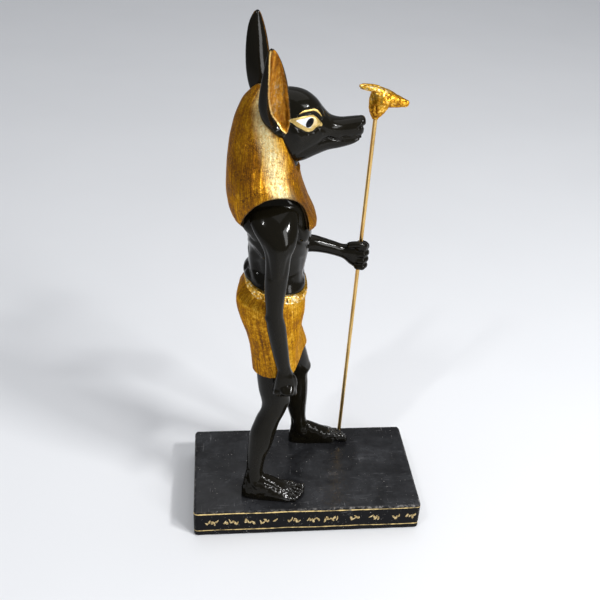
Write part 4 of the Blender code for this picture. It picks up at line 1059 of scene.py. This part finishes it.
def make_head(finish):
    shells = [upright(at_middle(HEAD), 64, 5, 2.3), upright(at_middle(JAW), 48, 5, 2.1),
              upright(at_middle(NOSE), 32, 4), level(at_middle(NECK), 48, 4),
              ear(RIGHT_EAR, -1), ear(LEFT_EAR, 1)]
    (x, out, z), half = EYEBALL
    shells += [blob((x, MEDIAN + side * out, z), half) for side in SIDES]
    head = remesh(object_of("head", shells))
    relax(head, 5)
    co = in_modules(head)
    flank = grows(np.abs(co[:, 1] - MEDIAN), 0.5, 1.5) * (co[:, 0] > FACE_BACK)
    lift = relief(seen(co, LIP_PLANE), LIP_FEATURES) + relief(seen(co, EYE_PLANE), EYE_FEATURES)
    lifted(head, flank * lift)
    relax(head, 1)
    co = in_modules(head)
    view = seen(co, EYE_PLANE)
    off_face = np.where((np.abs(co[:, 1] - MEDIAN) > 2.5) & (co[:, 0] > PAINT_BACK), 0.0, FAR)
    outer, inner = inside(view, EYE_OUTER), inside(view, EYE_INNER)
    x, z, long, short, turn = PUPIL
    across = (view[:, 0] - x) * math.cos(turn) + (view[:, 1] - z) * math.sin(turn)
    aside = (view[:, 1] - z) * math.cos(turn) - (view[:, 0] - x) * math.sin(turn)
    pupil = (np.hypot(across / long, aside / short) - 1) * short
    brow = distance(view, BROW) - np.interp(view[:, 0], *np.array(BROW_WIDTH).T)
    duct = distance(view, [TEAR_DUCT[0]]) - TEAR_DUCT[1]
    paint(head, "gold_line", np.minimum(np.minimum(outer, duct), brow) + off_face)
    paint(head, "eye_white", np.maximum(inner, view[:, 0] - WHITE_ENDS) + off_face)
    paint(head, "eye_yellow", np.maximum(inner, YELLOW_STARTS - view[:, 0]) + off_face)
    paint(head, "pupil", np.maximum(pupil, inner) + off_face)
    lining, lining_highlight = np.full(len(co), FAR), np.full(len(co), FAR)
    for rows, side in ((RIGHT_EAR, -1), (LEFT_EAR, 1)):
        here = side * (co[:, 1] - MEDIAN) > EARS_BEGIN
        found, found_highlight = ear_distances(co, rows, side)
        lining = np.where(here, np.minimum(lining, found), lining)
        lining_highlight = np.where(here, np.minimum(lining_highlight, found_highlight), lining_highlight)
    paint(head, "lining", lining)
    # The pale line of painted highlight along each lining's rear edge.
    paint(head, "lining_highlight_line", lining_highlight)
    place(head, finish, "painted_casting", "figure")


def strands_of(obj, rows, section):
    """Where each vertex's strand lies round the piece and how far down it is, held as an attribute too."""
    co = in_modules(obj)
    order = np.argsort(rows[:, 0])
    columns = [np.interp(co[:, 2], rows[order, 0], rows[order, i]) for i in range(1, rows.shape[1])]
    x, y, deep, wide = section(*columns)
    angle = np.arctan2((co[:, 1] - y) / wide, (co[:, 0] - x) / deep)
    found = np.stack([STRAND_RADIUS * np.cos(angle), STRAND_RADIUS * np.sin(angle), co[:, 2]], axis=1)
    paint(obj, "strand", found)
    return found


def furrows(strands, stretch, size, seed=0.0):
    return rough_noise(strands * (1, 1, stretch), size, seed)


def make_wig(finish):
    rows, rings = smooth(WIG, 8), []
    for z, back, front, wide, power in rows:
        centre, deep = (back + front) / 2, (front - back) / 2
        points = ring((centre, MEDIAN, z), (deep, 0, 0), (0, wide, 0), WIG_SIDES, power)
        if z > FACE_OPENING[1]:
            opening = FACE_OPENING[0] - FACE_OPENING[2] * (z - FACE_OPENING[1])
            points[:, 0] = np.minimum(points[:, 0], opening)
        rings.append(points)
    wig = object_of("wig", [rings])
    x, z, half_span, rise, out = ARCH
    for side in SIDES:
        arch = [ring((x, MEDIAN + side * at, z), (half_span, 0, 0), (0, 0, rise), ARCH_SIDES)
                for at in (out, 3 * out)]
        subtract(wig, object_of("arch", [arch]))
    remesh(wig)
    relax(wig, 5)
    strands = strands_of(wig, rows, lambda back, front, wide, _: (
        (back + front) / 2, MEDIAN, (front - back) / 2, wide))
    co = in_modules(wig)
    furrow = furrows(strands, 0.05, 2.2) + 0.6 * furrows(strands, 0.08, 1.1, 7.0)
    lifted(wig, 0.22 * furrow + 0.25 * rough_noise(co, 9.0, 3.0) - 0.15)
    # Painted shade: the gold is darkened in the arches and along the wig's lower edge.
    span = ((co[:, 0] - x) / half_span) ** 2 + ((co[:, 2] - z) / rise) ** 2
    under_arch = grows(span, 1.11, -0.08) * (np.abs(co[:, 1] - MEDIAN) > out - 1)
    paint(wig, "hollow", np.maximum(under_arch, grows(co[:, 2], WIG[-1][0] + 0.7, -0.5)))
    place(wig, finish, "painted_casting", "figure")


def thigh_hull(row, sides):
    """A level ring drawn tight round two ellipses, as cloth is round two thighs."""
    z, tilt = row[:2]
    centre = (np.array(row[2:4]) + np.array(row[6:8])) / 2
    points = []
    for angle in np.linspace(0, 2 * np.pi, 480, endpoint=False):
        across, aside = math.cos(angle), math.sin(angle)
        reaches = []
        for x, y, deep, wide in (row[2:6], row[6:10]):
            span = math.hypot(deep * across, wide * aside)
            touch = (x + deep**2 * across / span, y + wide**2 * aside / span)
            reaches.append((x * across + y * aside + span, touch))
        points.append(max(reaches)[1])
    points = np.array(points)
    bearing = np.arctan2(*(points - centre).T[::-1])
    order = np.argsort(bearing)
    even = 2 * np.pi * (np.arange(sides) + 0.5) / sides - np.pi
    found = np.full((sides, 3), z)
    for axis in (0, 1):
        found[:, axis] = np.interp(even, bearing[order], points[order, axis], period=2 * np.pi)
    back, front = found[:, 0].min(), found[:, 0].max()
    found[:, 2] -= tilt * (found[:, 0] - (front + back) / 2) / ((front - back) / 2)
    return found


def make_kilt(finish):
    rows = smooth(KILT, 8)
    kilt = remesh(object_of("kilt", [[thigh_hull(row, KILT_SIDES) for row in rows]]))
    relax(kilt, 4)
    strands = strands_of(kilt, rows, lambda _, x, y, deep, wide, x_b, y_b, deep_b, wide_b: (
        (x + x_b) / 2, (y + y_b) / 2, (deep + deep_b) / 2, (wide + wide_b) / 2 + 6))
    lifted(kilt, 0.28 * furrows(strands, 0.06, 2.6, 4.0) + 0.2 * rough_noise(in_modules(kilt), 7.0))
    place(kilt, finish, "painted_casting", "figure")


def make_belt(finish):
    """A band with two raised edges and a row of beads between them."""
    x, foot_z, deep, wide, tilt, breadth = BELT
    count, across, beads, squareness = 1000, 34, 34, 0.8
    angles = 2 * np.pi * np.arange(count) / count
    round_x, round_y = (np.sign(wave) * np.abs(wave) ** squareness for wave in (np.cos(angles), np.sin(angles)))
    outline = []
    for share in np.linspace(0, 1, across):
        edge = 0.7 * math.exp(-((share - 0.12) / 0.09) ** 2) + math.exp(-((share - 0.88) / 0.10) ** 2)
        bead = np.abs(np.cos(beads * angles / 2)) ** 0.7 * max(0.0, 1 - ((share - 0.48) / 0.28) ** 2) ** 0.5
        chip = 0.3 * np.sin(beads * angles * 1.5 + 9 * share) * np.sin(7 * angles + 2)
        end = max(0.0, abs(share - 0.5) - 0.42) / 0.08
        proud = 0.1 + 0.75 * edge + 0.8 * bead * (1 + chip) - 0.9 * end
        outline.append(np.stack([x + (deep + proud) * round_x, MEDIAN + (wide + proud) * round_y,
                                 foot_z + breadth * share - tilt * np.cos(angles) + 0.12 * np.sin(11 * angles)],
                                axis=1))
    place(object_of("belt", [outline]), finish, "painted_casting", "figure")


def rod_ends():
    """The rod's two end points, in metres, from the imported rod's box. It leans forward and to the right."""
    return (np.array([rod_low.x + ROD_RADIUS, rod_high.y - ROD_RADIUS, rod_low.z]),
            np.array([rod_high.x - ROD_RADIUS, rod_low.y + ROD_RADIUS, rod_high.z]))


def make_rod(finish):
    low, high = rod_ends()
    rings = [ring(low + (high - low) * share, (ROD_RADIUS, 0, 0), (0, ROD_RADIUS, 0), ROD_SIDES)
             for share in np.linspace(0, 1, 60)]
    place(object_of("staff_rod", [rings], np.asarray), finish, "gilt_rod", "staff_shaft")


def make_staff_head(finish):
    top = rod_ends()[1] - np.array([0, 0, STAFF_HEAD_SINK])
    (x, out, z), half = STAFF_BROW

    def placed(points):
        return top + MM * np.asarray(points, float)

    shells = [level(STAFF_NECK, 40), upright(STAFF_SKULL, 40)]
    for side in SIDES:
        shells.append(upright([(at_x, side * y, *rest) for at_x, y, *rest in STAFF_EAR], 24))
        shells.append(blob((x, side * out, z), half))
    head = remesh(object_of("staff_head_cast", shells, placed))
    relax(head, 3)
    co = (points_of(head) - top) / MM
    lift = 0.22 * rough_noise(co, 1.6, 2.0)
    for side in SIDES:
        lift += relief(co * (1, side, 1), STAFF_FEATURES)
    set_points(head, placed(co + normals_of(head) * lift[:, None]))
    place(head, finish, "gilt_casting", "staff_head")


def make_plinth(finish):
    """The slab, with rounded corners and slightly uneven faces."""
    size = plinth_high - plinth_low
    long, wide, thick = size.x - 2 * PLINTH_INSET, size.y - 2 * PLINTH_INSET, size.z - PLINTH_INSET
    maker = bmesh.new()
    bmesh.ops.create_cube(maker, size=1)
    bmesh.ops.scale(maker, vec=(long, wide, thick), verts=maker.verts)
    bmesh.ops.translate(maker, vec=(0, 0, thick / 2 + plinth_low.z), verts=maker.verts)
    corners = [e for e in maker.edges if abs(e.verts[0].co.z - e.verts[1].co.z) > 5 * MM]
    bmesh.ops.bevel(maker, geom=corners, offset=PLINTH_CORNER, segments=8, profile=0.5, affect="EDGES")
    rims = [e for e in maker.edges if abs(e.verts[0].co.z - e.verts[1].co.z) < 1e-6
            and len(e.link_faces) == 2 and e.calc_face_angle() > 1.0]
    bmesh.ops.bevel(maker, geom=rims, offset=PLINTH_RIM, segments=4, profile=0.5, affect="EDGES")
    slab = remesh(mesh_object("slab", maker))
    relax(slab, 1)
    co = points_of(slab)
    normals = normals_of(slab)
    waves = rough_noise(co / MM, 14.0) * 0.08 + rough_noise(co / MM, 3.0, 5.0) * 0.03
    waves[co[:, 2] < plinth_low.z + 0.4 * MM] = 0
    to_sides = np.array([size.x / 2, size.y / 2]) - np.abs(co[:, :2])
    to_top = plinth_high.z - co[:, 2]
    to_second_face = np.sort(np.column_stack([to_sides, to_top]), axis=1)[:, 1]
    front = (co[:, 1] < plinth_low.y + 6 * MM) & (to_top < 6 * MM)
    worn = np.where(front, 0.45 + 0.75 * grows(co[:, 0], -8 * MM, 16 * MM), 0.55)
    edge = np.minimum(np.clip(1 - to_second_face / (1.6 * MM), 0, 1) * worn, 1)
    co = co + normals * (np.minimum(waves, 0.1)[:, None] * MM)
    co[:, 2] = np.clip(co[:, 2], plinth_low.z, plinth_high.z)
    set_points(slab, co)
    paint(slab, "edge", edge)
    paint(slab, "top", np.clip(normals[:, 2], 0.05, 1))
    place(slab, finish, "black_slab", "plinth")


def make_marks(finish):
    """Shallow dabs of gold along the front of the slab, in groups, with no meaning."""
    face = np.array([0, plinth_low.y + MARK_RELIEF, 0])
    shells = []
    for number, (x, count) in enumerate(MARK_GROUPS):
        for k in range(count):
            turn = (k * 37 + number * 53) % 11 / 10 - 0.5
            at = np.array([x + (k - (count - 1) / 2) * MARK_SPACING + 0.4 * turn, 0,
                           MARK_HEIGHT + 2.0 * (((k * 5 + number * 3) % 7) / 6 - 0.5)])
            length = 1.25 + 0.9 * ((k * 3 + number * 7) % 5) / 4
            broad = 0.50 + 0.30 * ((k + number) % 3) / 2
            lean = MARK_LEANS[(k + number) % 5]
            along = np.array([math.sin(lean), 0, math.cos(lean)])
            side = np.array([math.cos(lean), 0, -math.sin(lean)])
            rings = []
            for share in np.linspace(-0.97, 0.97, 13):
                swell = math.sqrt(1 - share**2)
                width = broad * (1 - 0.35 * share)
                middle = (at + along * length * share + side * 0.25 * (1 - share**2)) * MM + face
                rings.append(ring(middle, side * width * swell * MM, (0, MARK_RELIEF * swell, 0), 12))
            shells.append(rings)
    place(object_of("front_dabs", shells, np.asarray), finish, "black_slab")


def set_pose(obj, right, up, back, at):
    rows = zip(np.stack([right, up, back], axis=1), at)
    obj.matrix_world = Matrix([(*row, shift) for row, shift in rows] + [(0, 0, 0, 1)])


def make_stage():
    bpy.ops.mesh.primitive_plane_add(size=FLOOR_SIZE, location=(0, 2.0, 0))
    floor = bpy.context.object
    floor.name = "floor"
    floor.data.materials.append(make_floor("pale_floor"))
    world = bpy.data.worlds.new("studio")
    world.use_nodes = True
    background = world.node_tree.nodes["Background"]
    background.inputs[0].default_value = SKY_COLOUR
    background.inputs[1].default_value = SKY_STRENGTH
    bpy.context.scene.world = world
    for name, at, aim, width, height, power in LAMPS:
        data = bpy.data.lights.new(name, "AREA")
        data.shape = "RECTANGLE"
        data.size, data.size_y = width, height
        data.energy = power
        at = np.array(at, float)
        back = (at - np.array(aim, float)) / np.linalg.norm(at - np.array(aim, float))
        right = np.cross((0, 0, 1), back)
        right /= np.linalg.norm(right)
        set_pose(linked(name, data), right, np.cross(back, right), back, at)


def make_camera():
    data = bpy.data.cameras.new("camera")
    data.sensor_width = CAMERA_SENSOR
    data.lens = CAMERA_LENS
    data.clip_start = 0.02
    camera = linked("camera", data)
    set_pose(camera, CAMERA_RIGHT, -CAMERA_DOWN, -CAMERA_AHEAD, CAMERA_AT)
    bpy.context.scene.camera = camera


def main():
    make_camera()
    make_stage()
    make_torso(make_lacquer("black_lacquer"))
    make_legs(make_lacquer("foot_lacquer", "gloss"))
    make_head(make_head_paint("painted_head"))
    # The wig's gold carries painted light and shade round it, a band of painted highlight and painted shade
    # under its arches.
    make_wig(make_gold("wig_gold", "strand", 0.06, bright=-0.01, sides=(-0.05, -0.07, 0.0, -0.10), crackle=1.0,
                       band=(208.0, 9.0, 252.0, -8.0, 9.5, 0.17), hollow="hollow"))
    # The kilt's gold is painted darker at the back and lighter at the front, as painted light and shade.
    make_kilt(make_gold("kilt_gold", "strand", 0.06, bright=0.01, grain=0.8, sides=(-0.05, -0.01, 0.0, 0.03),
                        crackle=0.4, stranded=0.85))
    make_belt(make_gold("belt_gold", bright=0.10, grain=0.6))
    make_rod(make_rod_gold("rod_gold"))
    make_staff_head(make_gold("staff_gold", bright=0.04, grain=0.6))
    make_plinth(make_slab("slab_black"))
    make_marks(make_mark_paint("mark_paint"))
    settings = bpy.context.scene.view_settings
    settings.view_transform = "Standard"
    settings.look = "None"


main()
